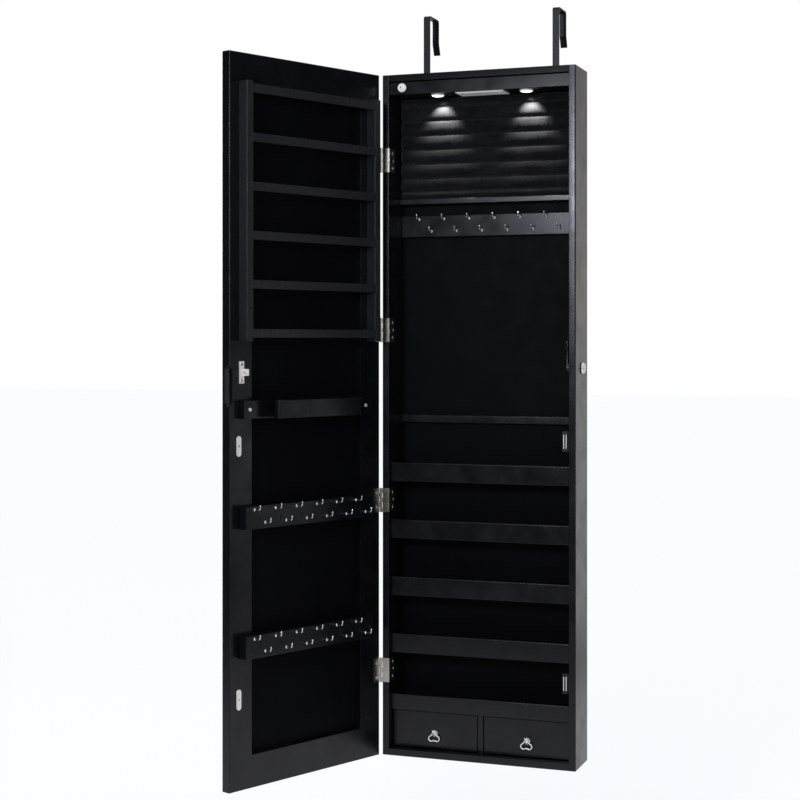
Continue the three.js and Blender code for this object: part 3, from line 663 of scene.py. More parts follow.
@dataclass(frozen=True)
class ScrewHead:
    """A countersunk screw head with a cross recess.

    Each step of the head is a share of the radius before it and a rise. The recess's arm and half slot
    are shares of the head's radius. Rises, level and recess are in millimetres.
    """

    sides: int = 24
    steps: tuple[Pair, ...] = ((0.97, 0.35), (0.86, 0.25))
    level: float = 0.6
    arm: float = 0.52
    half_slot: float = 0.11
    recess: float = 0.9
    recess_taper: float = 0.7

    def cross(self, reach: float) -> Outline:
        """Gives the twelve corners of the recess.

        Args:
            reach: the head's radius.

        Returns:
            The corners, in the radius's unit.
        """
        arm, half = reach * self.arm, reach * self.half_slot
        corners = [(arm, -half), (arm, half), (half, half), (half, arm), (-half, arm), (-half, half)]
        return corners + [(-x, -y) for x, y in corners]

    def add(self, bm: BMesh, at: Vector, out: Vector, radius: float, turn: float = RECESS_TURN) -> None:
        """Adds one head.

        Args:
            bm: the mesh to add to.
            at: the middle of the head, on the surface, in metres.
            out: the direction it faces.
            radius: the head's radius, in millimetres.
            turn: how far the recess is turned, in degrees.
        """
        head = bmesh.new()
        reach = radius * MM
        verts = bmesh.ops.create_circle(head, cap_ends=False, segments=self.sides, radius=reach)["verts"]
        edges = edges_of(verts)
        for shrink, rise in self.steps:
            verts, edges = grow(head, edges)
            bmesh.ops.scale(head, vec=(shrink, shrink, 1), verts=verts)
            bmesh.ops.translate(head, vec=(0, 0, rise * MM), verts=verts)
        cross = [head.verts.new((x, y, self.level * MM)) for x, y in self.cross(reach)]
        rim = [head.edges.new(pair) for pair in zip(cross, cross[1:] + cross[:1])]
        bmesh.ops.bridge_loops(head, edges=edges + rim)
        sunk, floor = grow(head, rim)
        bmesh.ops.translate(head, vec=(0, 0, -self.recess * MM), verts=sunk)
        bmesh.ops.scale(head, vec=(self.recess_taper, self.recess_taper, 1), verts=sunk)
        bmesh.ops.contextual_create(head, geom=floor)
        bmesh.ops.recalc_face_normals(head, faces=head.faces[:])
        spin = Matrix.Rotation(math.radians(turn), 4, "Z")
        head.transform(Matrix.Translation(at) @ axes_along(out) @ spin)
        merge_into(bm, head)


SCREW_HEAD = ScrewHead()


def blend_normals(mesh: bpy.types.Mesh, degrees: float) -> None:
    """Shades a mesh so that wide faces stay flat and their rounded edges turn the light.

    Args:
        mesh: the mesh to shade.
        degrees: faces that meet at more than this stay crisp.
    """
    limit = math.cos(math.radians(degrees))
    around: list[list[Vector]] = [[] for _ in mesh.vertices]
    for face in mesh.polygons:
        for vertex in face.vertices:
            around[vertex].append(face.normal * max(face.area, 1e-14))
    corner_normals = []
    for face in mesh.polygons:
        for vertex in face.vertices:
            near = (other for other in around[vertex] if other.normalized().dot(face.normal) > limit)
            blended = sum(near, Vector())
            corner_normals.append(blended.normalized() if blended.length > 0 else face.normal)
    mesh.shade_smooth()
    mesh.normals_split_custom_set(corner_normals)


def settle(
    name: str,
    bm: BMesh,
    finish: Finish,
    rides: Rides,
    stands_for: Sequence[str] = (),
    on_shut_door: bool = False,
    crease: float = 50.0,
) -> bpy.types.Object:
    """Turns a mesh into a finished piece.

    Args:
        name: the piece's name.
        bm: its mesh, which is freed.
        finish: its finish.
        rides: the body it travels with.
        stands_for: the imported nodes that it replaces.
        on_shut_door: whether it was made on the shut door and has to swing open.
        crease: faces that meet at more than this stay crisp, in degrees.

    Returns:
        The piece.
    """
    if on_shut_door:
        bm.transform(door_swing())
    mesh = bpy.data.meshes.new(name)
    bm.to_mesh(mesh)
    bm.free()
    blend_normals(mesh, crease)
    piece = bpy.data.objects.new(name, mesh)
    bpy.context.scene.collection.objects.link(piece)
    mesh.materials.append(PALETTE.material(finish))
    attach(piece, rides.value)
    if stands_for:
        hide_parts(*stands_for)
    LOG.info("%s: %d faces on %s", name, len(mesh.polygons), rides.value)
    return piece


def settle_screws(
    name: str,
    spots: Sequence[tuple[Vector, float]],
    radius: float,
    finish: Finish,
    on_shut_door: bool = True,
    out: Vector = TO_WALL,
) -> None:
    """Makes one piece of several screw heads, on the door or on the case.

    Args:
        name: the piece's name.
        spots: the middle of each head and the turn of its recess, in degrees.
        radius: the heads' radius, in millimetres.
        finish: their finish.
        on_shut_door: whether they sit on the door, and are placed on it while it is shut.
        out: the direction that they face.
    """
    screws = bmesh.new()
    for at, turn in spots:
        SCREW_HEAD.add(screws, at, out, radius, turn)
    settle(name, screws, finish, Rides.DOOR if on_shut_door else Rides.CASE, (), on_shut_door)


@dataclass(frozen=True)
class Share:
    """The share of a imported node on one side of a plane, for a node that has two finishes."""

    label: str
    at: Vector
    facing: Vector
    stands_for: bool = False


@dataclass
class Assembly:
    """What every sub-assembly shares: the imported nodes, and ways to dress or soften them."""

    nodes: dict[str, bpy.types.Object]

    def dress(self, name: str, finish: Finish) -> None:
        """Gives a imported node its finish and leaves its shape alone.

        Args:
            name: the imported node.
            finish: its finish.
        """
        node = self.nodes[name]
        node.data.materials.clear()
        node.data.materials.append(PALETTE.material(finish))
        LOG.info("%s: dressed in %s", name, finish.name)

    def soften(
        self,
        name: str,
        finish: Finish,
        rides: Rides,
        radius: float = 0.7,
        crease: float = 30.0,
        share: Share | None = None,
    ) -> bpy.types.Object:
        """Replaces a packed board, or a share of it, by a copy whose sharp edges are rounded.

        Args:
            name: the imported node.
            finish: the copy's finish.
            rides: the body that it travels with.
            radius: how far edges are rounded, in millimetres.
            crease: edges sharper than this are rounded, in degrees.
            share: the share of the node to copy, all of it if left out.

        Returns:
            The copy.
        """
        bm = bmesh.new()
        bm.from_mesh(self.nodes[name].data)
        bmesh.ops.remove_doubles(bm, verts=bm.verts[:], dist=2e-5)
        bmesh.ops.dissolve_limit(bm, angle_limit=math.radians(1.0), verts=bm.verts[:], edges=bm.edges[:])
        if share:
            everything = bm.verts[:] + bm.edges[:] + bm.faces[:]
            bmesh.ops.bisect_plane(
                bm, geom=everything, plane_co=share.at, plane_no=share.facing, clear_inner=True
            )
            bmesh.ops.holes_fill(bm, edges=[edge for edge in bm.edges if edge.is_boundary])
            bmesh.ops.recalc_face_normals(bm, faces=bm.faces[:])
        paired = [edge for edge in bm.edges if len(edge.link_faces) == 2]
        sharp = [edge for edge in paired if edge.calc_face_angle() > math.radians(crease)]
        bmesh.ops.bevel(
            bm,
            geom=sharp,
            offset=radius * MM,
            segments=2,
            profile=0.5,
            affect="EDGES",
            clamp_overlap=True,
            material=-1,
        )
        label = share.label if share else f"{name}_board"
        return settle(label, bm, finish, rides, () if share and not share.stands_for else (name,))


# ---------------------------------------------------------------- sub-assemblies


@dataclass
class Carcass(Assembly):
    """Side, top, bottom and back panels, shelves and the drawer divider."""

    shelf_count: int = 5
    back_face: float = 77.0
    seam_gap: float = 0.1
    outer_boards: tuple[str, ...] = ("side_panel_left", "side_panel_right", "top_panel", "bottom_panel")
    inner_boards: tuple[str, ...] = ("ring_shelf", "drawer_divider")

    def build(self) -> None:
        """Builds and dresses the carcass."""
        for name in self.outer_boards + self.inner_boards:
            self.soften(name, TOP_BLACK if name == "top_panel" else SATIN_BLACK, Rides.CASE)
        for index in range(self.shelf_count):
            self.soften(f"shelf_{index + 1}", SATIN_BLACK, Rides.CASE, 0.8)
        seam = place(0, self.back_face - self.seam_gap, 0)
        sheet = Share("back_sheet", seam, TO_WALL, True)
        self.soften("back_panel", INNER_BLACK, Rides.CASE, 0.4, share=sheet)
        batten = Share("back_batten", seam, TO_ROOM)
        self.soften("back_panel", SATIN_BLACK, Rides.CASE, 0.9, share=batten)


@dataclass
class HookRail(Assembly):
    """A board with two staggered rows of screwed-in wire hooks."""

    node: str = ""
    rides: Rides = Rides.CASE
    span: Pair = (12.0, 338.0)
    wall: float = 77.0
    thick: float = 12.0
    bottom: float = 917.0
    height: float = 38.0
    facing: int = -1
    per_row: int = 6
    pitch: float = 23.5
    rows: Pair = (10.0, 32.0)
    wire: float = 1.15
    reach: float = 13.0
    bend_steps: int = 5
    tip: float = 1.75
    screw_inset: float = 7.0

    @property
    def face(self) -> float:
        """The board's front face, in case millimetres."""
        return self.wall + self.facing * self.thick

    def off_board(self, x: float, out: float, z: float) -> Vector:
        """Gives a point at a height off the board's front face."""
        return place(x, self.face + self.facing * out, z)

    def hook_path(self, x: float, z: float) -> list[Vector]:
        """Gives one hook's centre line from inside the board to its tip.

        Args:
            x: its place along the rail.
            z: its height.

        Returns:
            The stations along the wire.
        """
        bend = self.reach * 0.28
        straight = self.reach - bend
        path = [self.off_board(x, out, z) for out in (-2.0, 1.0, self.reach * 0.45, straight)]
        for step in range(1, self.bend_steps + 1):
            angle = math.radians(90 * step / self.bend_steps)
            rise = bend * (1 - math.cos(angle))
            path.append(self.off_board(x, straight + bend * math.sin(angle), z + rise))
        path.append(self.off_board(x, self.reach + 0.3, z + bend + 2.4))
        return path

    def add_hook(self, bm: BMesh, x: float, z: float) -> None:
        """Adds one hook with its collar and ball tip.

        Args:
            bm: the mesh to add to.
            x: its place along the rail.
            z: its height.
        """
        path = self.hook_path(x, z)
        add_tube(bm, path, [self.wire * MM] * len(path))
        collar = [(0, 0), (2.6, 0), (2.6, 0.5), (1.9, 1.1), (1.2, 1.3), (0, 1.3)]
        merge_into(bm, turned(collar, place(x, self.face, z), Vector((0, self.facing, 0)), 16))
        ball = bmesh.ops.create_uvsphere(bm, u_segments=12, v_segments=8, radius=self.tip * MM)
        bmesh.ops.translate(bm, vec=path[-1] + Vector((0, 0, 0.6 * MM)), verts=ball["verts"])

    def build(self) -> None:
        """Builds the board, its hooks and its end screws."""
        on_door = self.rides is Rides.DOOR
        low_y, high_y = sorted((self.wall, self.face))
        left, right = self.span
        board = bmesh.new()
        top = self.bottom + self.height
        add_block(board, place(left, low_y, self.bottom), place(right, high_y, top), 0.9 * MM)
        settle(f"{self.node}_board", board, RAIL_BLACK, self.rides, (self.node,), on_door)
        hooks = bmesh.new()
        for index in range(self.per_row * 2):
            x = (left + right) / 2 + (index - self.per_row + 0.5) * self.pitch
            row = self.rows[(index + (1 if self.facing < 0 else 0)) % 2]
            self.add_hook(hooks, x, self.bottom + row)
        settle(f"{self.node}_hooks", hooks, HOOK_WIRE, self.rides, (), on_door)
        if on_door:
            ends = (left + self.screw_inset, right - self.screw_inset)
            spots = [(place(x, self.face, (self.bottom + top) / 2), RECESS_TURN) for x in ends]
            settle_screws(f"{self.node}_screws", spots, 2.6, DARK_SCREW_AND_SHADE)


@dataclass
class RingPad(Assembly):
    """Velvet rolls stacked in the top bay, with a slot between each pair for ring bands."""

    rolls: int = 8
    span: Pair = (12.5, 337.5)
    depth: Pair = (58.0, 76.5)
    rise: Pair = (984.5, 1164.5)
    slot_pitch: float = 25.0
    slot: float = 0.5
    fill: float = 0.9
    cuts_round: int = 7
    cuts_along: int = 70
    roundness: float = 0.96
    swell: float = 0.44
    pinch: float = 0.35
    pinch_from: float = 0.485
    ripple: Triple = (55.0, 3.0, 0.37)
    ripple_height: float = 0.5

    def edges(self) -> list[float]:
        """Gives the heights that part the rolls.

        Returns:
            The heights, from the bottom up.
        """
        low, high = self.rise
        margin = (high - low - self.slot_pitch * (self.rolls - 2)) / 2
        inner = [low + margin + step * self.slot_pitch for step in range(self.rolls - 1)]
        return [low, *inner, high]

    def roll(self, low: float, high: float) -> BMesh:
        """Makes one roll: a block that is cut fine, then rounded, rippled and drawn in at its ends.

        Args:
            low: its lower edge, in case millimetres.
            high: its upper edge.

        Returns:
            A new mesh of the roll.
        """
        start = place(self.span[0], self.depth[0], low + self.slot)
        end = place(self.span[1], self.depth[1], high - self.slot)
        bm = bmesh.new()
        bmesh.ops.create_cube(bm, size=1.0)

        def runs_along_x(edge: BMEdge) -> bool:
            """Tells whether an edge of the cube runs along X."""
            return abs(edge.verts[0].co.x - edge.verts[1].co.x) > 0.5

        rings = [edge for edge in bm.edges if not runs_along_x(edge)]
        bmesh.ops.subdivide_edges(bm, edges=rings, cuts=self.cuts_round, use_grid_fill=True)
        runs = [edge for edge in bm.edges if runs_along_x(edge)]
        bmesh.ops.subdivide_edges(bm, edges=runs, cuts=self.cuts_along, use_grid_fill=True)
        size, centre = end - start, (start + end) / 2
        fine, coarse, shift = self.ripple
        for vert in bm.verts:
            x, y, z = vert.co
            crown = math.sqrt(max(0.0, 1 - (2 * z) ** 2 * self.roundness))
            front = max(0.0, 0.5 - y)
            past = max(0.0, (abs(x) - self.pinch_from) / (0.5 - self.pinch_from))
            bulge = 0.5 - front * (1 - self.swell + self.swell * crown) * (1 - self.pinch * past**2)
            vert.co = centre + Vector((x * size.x, bulge * size.y, z * size.z))
            wave = noise.noise(Vector((vert.co.x * fine, z * coarse, low * shift)))
            vert.co.y += wave * self.ripple_height * front * MM
        bmesh.ops.recalc_face_normals(bm, faces=bm.faces[:])
        return bm

    def build(self) -> None:
        """Builds the pad of rolls."""
        pad = bmesh.new()
        edges = self.edges()
        for low, high in zip(edges, edges[1:]):
            merge_into(pad, self.roll(low, high))
        piece = settle("ring_pad", pad, PAD_VELVET, Rides.CASE, ("ring_cushion",), crease=60)


@dataclass
class LightBox(Assembly):
    """Fascia and deck with the battery box, two lamps and the push switch."""

    deck: float = 1165.0
    lamp_y: float = 28.0
    lamp_spread: float = 162.0
    lamp_lens: float = 12.0
    battery_x: Pair = (131.3, 218.7)
    battery_y: Pair = (10.3, 53.7)
    battery_proud: float = 1.5
    battery_wall: float = 2.3
    battery_rise: float = 14.0
    lid_inset: Pair = (5.0, 4.0)
    ridges: int = 5
    ridge_pitch: float = 2.0
    switch: Pair = (35.5, 1177.0)
    fascia_face: float = 4.0

    def build_battery_cover(self) -> None:
        """Builds the cover with its parting line, latch ridges and indicator."""
        face = self.deck - self.battery_proud
        wall = (self.battery_wall, self.battery_wall)
        shell = bmesh.new()
        for (in_x, in_y), bottom, top, soft, segments in (
            ((0, 0), face, self.deck, 1.2, 3),
            (wall, self.deck - 0.2, self.deck + self.battery_rise, 1.0, 2),
            (self.lid_inset, face - 0.5, face + 0.6, 0.45, 3),
        ):
            low = place(self.battery_x[0] + in_x, self.battery_y[0] + in_y, bottom)
            high = place(self.battery_x[1] - in_x, self.battery_y[1] - in_y, top)
            add_block(shell, low, high, soft * MM, segments)
        middle = sum(self.battery_y) / 2
        for step in range(self.ridges):
            x = self.battery_x[1] - 18 + step * self.ridge_pitch
            add_block(shell, place(x, middle - 6, face - 1), place(x + 1, middle + 6, face), 0.35 * MM)
        settle("battery_cover", shell, WHITE_SHELL, Rides.CASE, ("battery_box",))
        spot = place(self.battery_x[0] + 12, self.battery_y[0] + 7, face - 0.4)
        dot = turned([(0, 0), (2.1, 0), (2.1, 0.5), (1.5, 1.1), (0, 1.3)], spot, DOWN, 20)
        settle("battery_indicator", dot, INDICATOR_RED, Rides.CASE)

    def build_lamp(self, side: Side) -> None:
        """Builds one lamp: a white bezel round a domed lens.

        Args:
            side: the lamp's side.
        """
        node = f"led_lamp_{side.word}"
        centre = place(CASE_WIDTH / 2 + side.value * self.lamp_spread / 2, self.lamp_y, self.deck)
        rim = self.lamp_lens
        radius = rim - 2.4
        angles = [math.radians(degrees) for degrees in range(0, 91, 15)]
        dome = [(radius * math.sin(angle), 1.6 + 2.0 * math.cos(angle)) for angle in angles]
        lens = turned([*dome, (radius, 0.4), (0, 0.4)], centre, DOWN, 40)
        settle(f"{node}_lens", lens, LAMP_LENS, Rides.CASE)
        ring = [(radius + 0.1, 0.3), (radius + 0.1, 2.2), (radius + 0.9, 2.6), (rim - 0.6, 2.2), (rim, 1.2)]
        ring += [(rim, 0), (9.5, 0), (9.5, -12), (0, -12)]
        settle(f"{node}_bezel", turned(ring, centre, DOWN, 40), WHITE_SHELL, Rides.CASE, (node,))

    def build_switch(self) -> None:
        """Builds the switch rim, its domed button and a dark disc of painted shade on the button's tip."""
        x, z = self.switch
        at = place(x, self.fascia_face, z)
        ring = [(5.3, -5), (5.3, 1.4), (5.8, 2.0), (6.9, 2.0), (7.75, 1.1), (7.75, 0), (6.2, 0), (6.2, -5)]
        rim = turned([*ring, ring[0]], at, TO_ROOM, 40)
        settle("switch_rim", rim, WHITE_SHELL, Rides.CASE, ("switch_bezel",))
        dome = [(0, 8.5), (1.2, 8.4), (2.0, 7.9), (2.3, 7.2), (2.3, 4.2), (2.6, 3.8), (4.6, 3.6), (5.0, 3.1)]
        cap = turned([*dome, (5.0, -5), (0, -5)], at, TO_ROOM, 40)
        settle("switch_cap", cap, WHITE_SHELL, Rides.SWITCH, ("switch_button",))
        # Painted shade: a small dark disc on the plunger's end stands in for the shadow that the plunger
        # casts.
        tip = turned([(0, 8.3), (1.3, 8.3), (1.1, 8.6), (0, 8.65)], at, TO_ROOM, 24)
        settle("switch_tip_shade", tip, SWITCH_SHADE, Rides.SWITCH)

    def build(self) -> None:
        """Builds the light box."""
        self.soften("light_housing", FASCIA_BLACK, Rides.CASE, 0.7)
        self.build_battery_cover()
        self.build_switch()
        for side in Side:
            self.build_lamp(side)


@dataclass
class Drawer(Assembly):
    """One small drawer with its felt lining, cast rosette and swinging ring pull."""

    side: Side = Side.LEFT
    face: float = 20.0
    pull_z: float = 40.0
    stand_off: float = 4.5
    tray_margin: float = 5.5
    from_middle: float = 84.0
    felt: Pair = (3.1, 4.3)
    petals: int = 10
    petal_ring: float = 4.7
    crown_leans: tuple[float, ...] = (-30.0, 0.0, 30.0)
    ring_half: tuple[Triple, ...] = (
        *((0, 0, 0.9), (1.8, 0, 0.9), (3.5, -0.1, 0.95), (4.7, -1.6, 1.19), (6.0, -3.6, 1.25)),
        *((8.6, -4.9, 1.25), (9.9, -6.9, 1.25), (10.0, -9.4, 1.25), (8.4, -11.9, 1.25)),
        *((6.0, -13.1, 1.25), (3.8, -12.9, 1.25), (1.9, -11.9, 1.25), (0, -11.4, 1.2)),
    )

    @property
    def rides(self) -> Rides:
        """The drawer's body."""
        return Rides[f"DRAWER_{self.side.name}"]

    @property
    def pull_rides(self) -> Rides:
        """The ring pull's body."""
        return Rides[f"PULL_{self.side.name}"]

    @property
    def middle(self) -> float:
        """The drawer's middle, in case millimetres."""
        return CASE_WIDTH / 2 + self.side.value * self.from_middle

    def build_lining(self) -> None:
        """Lays felt on the drawer's floor."""
        low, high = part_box(f"drawer_box_{self.side.word}")
        margin = self.tray_margin * MM
        bottom, top = (height * MM for height in self.felt)
        felt = bmesh.new()
        start = low + Vector((margin, margin, bottom))
        end = Vector((high.x - margin, high.y - margin, low.z + top))
        add_block(felt, start, end, 0.4 * MM)
        settle(f"drawer_lining_{self.side.word}", felt, TRAY_FELT, self.rides)

    def build_rosette(self) -> None:
        """Builds the rosette, eye and bud of the pull."""
        x, z = self.middle, self.pull_z
        centre = place(x, self.face - self.stand_off, z)
        plate = [(0, 0), (6, 0), (6, 0.5), (5.4, 1.1), (4.2, 1.3), (3.8, 1.7), (2.6, 2.0), (0, 2.1)]
        base = turned(plate, place(x, self.face, z), TO_ROOM)
        for step in range(self.petals):
            angle = math.tau * step / self.petals
            petal = bmesh.ops.create_uvsphere(base, u_segments=10, v_segments=6, radius=1.15 * MM)
            across, up = self.petal_ring * math.cos(angle), self.petal_ring * math.sin(angle)
            bmesh.ops.translate(base, vec=place(x + across, self.face - 1, z + up), verts=petal["verts"])
        eye = [(1.5, -1.9), (2.5, -1.9), (2.8, -1.5), (2.8, 1.5), (2.5, 1.9), (1.5, 1.9), (1.5, -1.9)]
        merge_into(base, turned(eye, centre, TO_RIGHT, 28))
        neck = [(2.4, 0), (1.6, 1.0), (1.5, 2.2), (0, 2.2)]
        merge_into(base, turned(neck, place(x, self.face - 1.6, z), TO_ROOM, 20))
        crown = bmesh.new()
        point = [(0, 0), (1.1, 0.3), (1.3, 1.2), (1.0, 2.8), (0.7, 4.2), (0.6, 4.9), (0, 5.4)]
        for lean in self.crown_leans:
            tip = Vector((math.sin(math.radians(lean)), 0, math.cos(math.radians(lean))))
            merge_into(crown, turned(point, centre + tip * 2 * MM, tip, 16))
        word = self.side.word
        settle(f"pull_crown_{word}", crown, CAST, self.rides)
        settle(f"pull_rosette_{word}", base, CHROME, self.rides, (f"pull_base_{word}",))

    def build_ring(self) -> None:
        """Casts the ring: a bar in the eye, flared shoulders and a lower edge with two lobes."""
        mirrored = [(-across, up, girth) for across, up, girth in reversed(self.ring_half[1:-1])]
        loop = [*self.ring_half, *mirrored]
        depth = self.face - self.stand_off
        path = [place(self.middle + across, depth, self.pull_z + up) for across, up, _ in loop]
        ring = bmesh.new()
        add_tube(ring, path, [girth * MM for _, _, girth in loop], 12, True)
        word = self.side.word
        piece = settle(f"pull_bail_{word}", ring, CAST, self.pull_rides, (f"pull_ring_{word}",), crease=60)
        rounding = piece.modifiers.new("rounding", "SUBSURF")
        rounding.levels = rounding.render_levels = 1

    def build(self) -> None:
        """Builds the drawer."""
        self.soften(f"drawer_front_{self.side.word}", SATIN_BLACK, self.rides, 1.7)
        self.dress(f"drawer_box_{self.side.word}", INNER_BLACK)
        self.build_lining()
        self.build_rosette()
        self.build_ring()


@dataclass
class LockAndCatches(Assembly):
    """Cylinder lock on the right side panel, its strike, the magnetic catches and their plates."""

    lock_z: float = 684.0
    lock_y: float = 45.0
    cam_depth: float = 23.3
    catch_bottoms: dict[str, float] = field(default_factory=lambda: {"lower": 131.5, "upper": 542.5})
    catch_height: float = 34.0
    poles: Pair = (329.3, 333.6)
    pole_thick: float = 1.3
    pole_proud: float = 2.95
    plate_screw: Pair = (331.0, 1.35)
    strike_screw: Pair = (325.5, 1.85)
    strike_screw_heights: Pair = (666.0, 692.5)

    def build_lock(self) -> None:
        """Builds the stepped flange and barrel, the nut behind the panel and a dark ring of painted shadow
        round the flange, and dresses the plug with its key slot.
        """
        at = place(CASE_WIDTH, self.lock_y, self.lock_z)
        flange = [(6.3, -11), (9, -11), (9, 0.1), (10.3, 0.1), (10.3, 1.2), (10.0, 1.8), (9.1, 2.0)]
        flange += [(8.9, 2.3), (8.7, 4.2), (8.2, 4.9), (7.4, 5.0), (6.9, 4.7), (6.3, 4.7), (6.3, -11)]
        settle("lock_flange", turned(flange, at, TO_RIGHT, 48), CAST, Rides.CASE, ("lock_barrel",))
        # Painted shadow: a thin dark ring just outside the flange stands in for the contact shadow where the
        # flange meets the side panel. The nut behind the panel is a real part.
        shade_ring = [(10.4, 0), (11, 0), (11, 0.8), (10.7, 1.2), (10.4, 1.2), (10.4, 0)]
        nut_and_shade_ring = turned(shade_ring, at, TO_RIGHT, 48)
        back = [(6.3, -23), (9, -23), (9, -16), (12, -16), (12, -12), (9, -12), (9, -11.2), (6.3, -11.2)]
        merge_into(nut_and_shade_ring, turned([*back, back[0]], at, TO_RIGHT, 48))
        settle("lock_nut_and_shade_ring", nut_and_shade_ring, DARK_SCREW_AND_SHADE, Rides.CASE)
        seam = place(CASE_WIDTH - self.cam_depth, 0, 0)
        cylinder = Share("lock_cylinder", seam, TO_RIGHT, True)
        self.soften("lock_plug", CHROME, Rides.LOCK, 0.15, 45, cylinder)
        self.soften("lock_plug", DARK_SCREW_AND_SHADE, Rides.LOCK, 0.15, 45, Share("lock_cam", seam, -TO_RIGHT))

    def build_catch(self, name: str, bottom: float) -> None:
        """Builds one catch: its black shell, the two steel poles and its screws.

        Args:
            name: the catch's name.
            bottom: its lower end, in case millimetres.
        """
        self.soften(f"magnetic_catch_{name}", CATCH_SHELL, Rides.CASE, 0.6)
        top = bottom + self.catch_height
        poles = bmesh.new()
        for x in self.poles:
            low = place(x, -self.pole_proud, bottom + 5)
            add_block(poles, low, place(x + self.pole_thick, 6, top - 5), 0.2 * MM)
        for z in (bottom + 7, top - 7):
            SCREW_HEAD.add(poles, place(336.5, 22.5, z), -TO_RIGHT, 2.4)
        settle(f"catch_poles_{name}", poles, PLATE, Rides.CASE)

    def build_plate(self, name: str, bottom: float) -> None:
        """Builds one catch plate's softened copy and its centre screw.

        Args:
            name: the catch's name.
            bottom: its lower end, in case millimetres.
        """
        self.soften(f"catch_plate_{name}", PLATE, Rides.DOOR, 0.3)
        middle = bottom + self.catch_height / 2
        spots = [(off_door(*self.plate_screw, middle), RECESS_TURN)]
        settle_screws(f"catch_plate_screw_{name}", spots, 2.2, NICKEL)

    def build(self) -> None:
        """Builds lock, strike and catches."""
        self.build_lock()
        self.soften("lock_strike", PLATE, Rides.DOOR, 0.2, 45)
        spots = [(off_door(*self.strike_screw, z), RECESS_TURN) for z in self.strike_screw_heights]
        settle_screws("lock_strike_screws", spots, 2.3, NICKEL)
        for name, bottom in self.catch_bottoms.items():
            self.build_catch(name, bottom)
            self.build_plate(name, bottom)


@dataclass
class Hinges(Assembly):
    """Four butt hinges with their screws."""

    centres: tuple[float, ...] = (150.0, 450.0, 750.0, 1050.0)
    screw_rows: tuple[float, ...] = (-13.0, 0.0, 13.0)
    case_screw: Triple = (13.5, 17.5, 21.0)
    door_screw: Pair = (8.2, 1.5)

    def build(self) -> None:
        """Rounds the leaves and sets the screws."""
        for index in range(len(self.centres)):
            self.soften(f"hinge_case_leaf_{index + 1}", NICKEL, Rides.CASE, 0.18, 50)
            self.soften(f"hinge_door_leaf_{index + 1}", NICKEL, Rides.DOOR, 0.18, 50)
        pairs = [(centre, row) for centre in self.centres for row in self.screw_rows]
        x, outer, middle = self.case_screw
        on_case = [(place(x, outer if row else middle, centre + row), 15 + 31 * row) for centre, row in pairs]
        settle_screws("hinge_screws_case", on_case, 2.9, NICKEL, False, TO_RIGHT)
        on_door = [(off_door(*self.door_screw, centre + row), 40 + row) for centre, row in pairs if row]
        settle_screws("hinge_screws_door", on_door, 2.7, NICKEL)


@dataclass
class Straps(Assembly):
    """The two strap hooks that carry the cabinet on a room door."""

    spread: float = 239.0
    face: float = 82.5
    screw_heights: tuple[float, ...] = (1124.0, 1144.0, 1164.0)

    def build(self) -> None:
        """Rounds the straps and sets their screws."""
        spots = []
        for side in Side:
            self.soften(f"over_door_hook_{side.word}", STRAP_COAT, Rides.CASE, 0.35, 40)
            x = CASE_WIDTH / 2 + side.value * self.spread / 2
            spots += [(place(x, self.face, z), z) for z in self.screw_heights]
        settle_screws("strap_screws", spots, 3.0, STRAP_COAT, False)


@dataclass
class Door(Assembly):
    """Door frame with mirror, inner panel, earring rack and bracelet bar."""

    rack_bars: int = 6
    rack_proud: float = 21.0
    cheek_screws: tuple[float, ...] = (783.0, 942.0, 1100.0)
    cheek_middles: Pair = (26.0, 324.0)
    bracelet_screws: Pair = (47.0, 316.0)
    bracelet_face: float = 12.1
    bracelet_middle: float = 619.0

    def build_rack(self) -> None:
        """Rounds the rack's cheeks and bars, and sets the cheeks' screws."""
        for name in ("rack_cheek_hinge_side", "rack_cheek_free_side"):
            self.soften(name, RACK_BLACK, Rides.DOOR, 0.8)
        for index in range(self.rack_bars):
            self.soften(f"earring_bar_{index + 1}", RACK_BLACK, Rides.DOOR, 0.3)
        places = [(u, z) for u in self.cheek_middles for z in self.cheek_screws]
        spots = [(off_door(u, self.rack_proud, z), z) for u, z in places]
        settle_screws("rack_screws", spots, 2.6, DARK_SCREW_AND_SHADE)

    def build(self) -> None:
        """Builds the door."""
        self.soften("door_frame", SATIN_BLACK, Rides.DOOR, 0.8)
        self.dress("door_panel", INNER_BLACK)
        self.soften("mirror_glass", MIRROR_FACE, Rides.DOOR, 0.6)
        self.build_rack()
        self.soften("bracelet_mount", SATIN_BLACK, Rides.DOOR, 0.8)
        self.soften("bracelet_bar", RAIL_BLACK, Rides.DOOR, 0.8)
        along = self.bracelet_screws
        spots = [(off_door(u, self.bracelet_face, self.bracelet_middle), u) for u in along]
        settle_screws("bracelet_screws", spots, 3.0, PLATE)


# ---------------------------------------------------------------- studio


@dataclass(frozen=True)
class Lamp:
    """One soft square lamp, with its places and its side in metres."""

    name: str
    at: Triple
    aim: Triple
    size: float
    watts: float
    tint: Triple

    def build(self) -> None:
        """Builds the lamp."""
        data = bpy.data.lights.new(self.name, "AREA")
        data.size = self.size
        data.energy = self.watts
        data.color = self.tint
        hang(data, Vector(self.at), Vector(self.aim))


def hang(data: bpy.types.Light, at: Vector, aim: Vector) -> None:
    """Hangs a light at a point and turns it to face another.

    Args:
        data: the light.
        at: where it hangs, in metres.
        aim: the point that it faces.
    """
    light = bpy.data.objects.new(data.name, data)
    light.location = at
    light.rotation_euler = (aim - at).to_track_quat("-Z", "Y").to_euler()
    bpy.context.scene.collection.objects.link(light)


KEY = Lamp("key", (-0.2, -2.6, -0.05), (0.1, 0, -0.3), 0.5, 24, (0.83, 0.89, 1.0))
SIDE = Lamp("side", (2.6, 0.9, -1.05), (-0.2, -0.2, -0.8), 0.5, 0.6, (0.9, 0.95, 1.0))


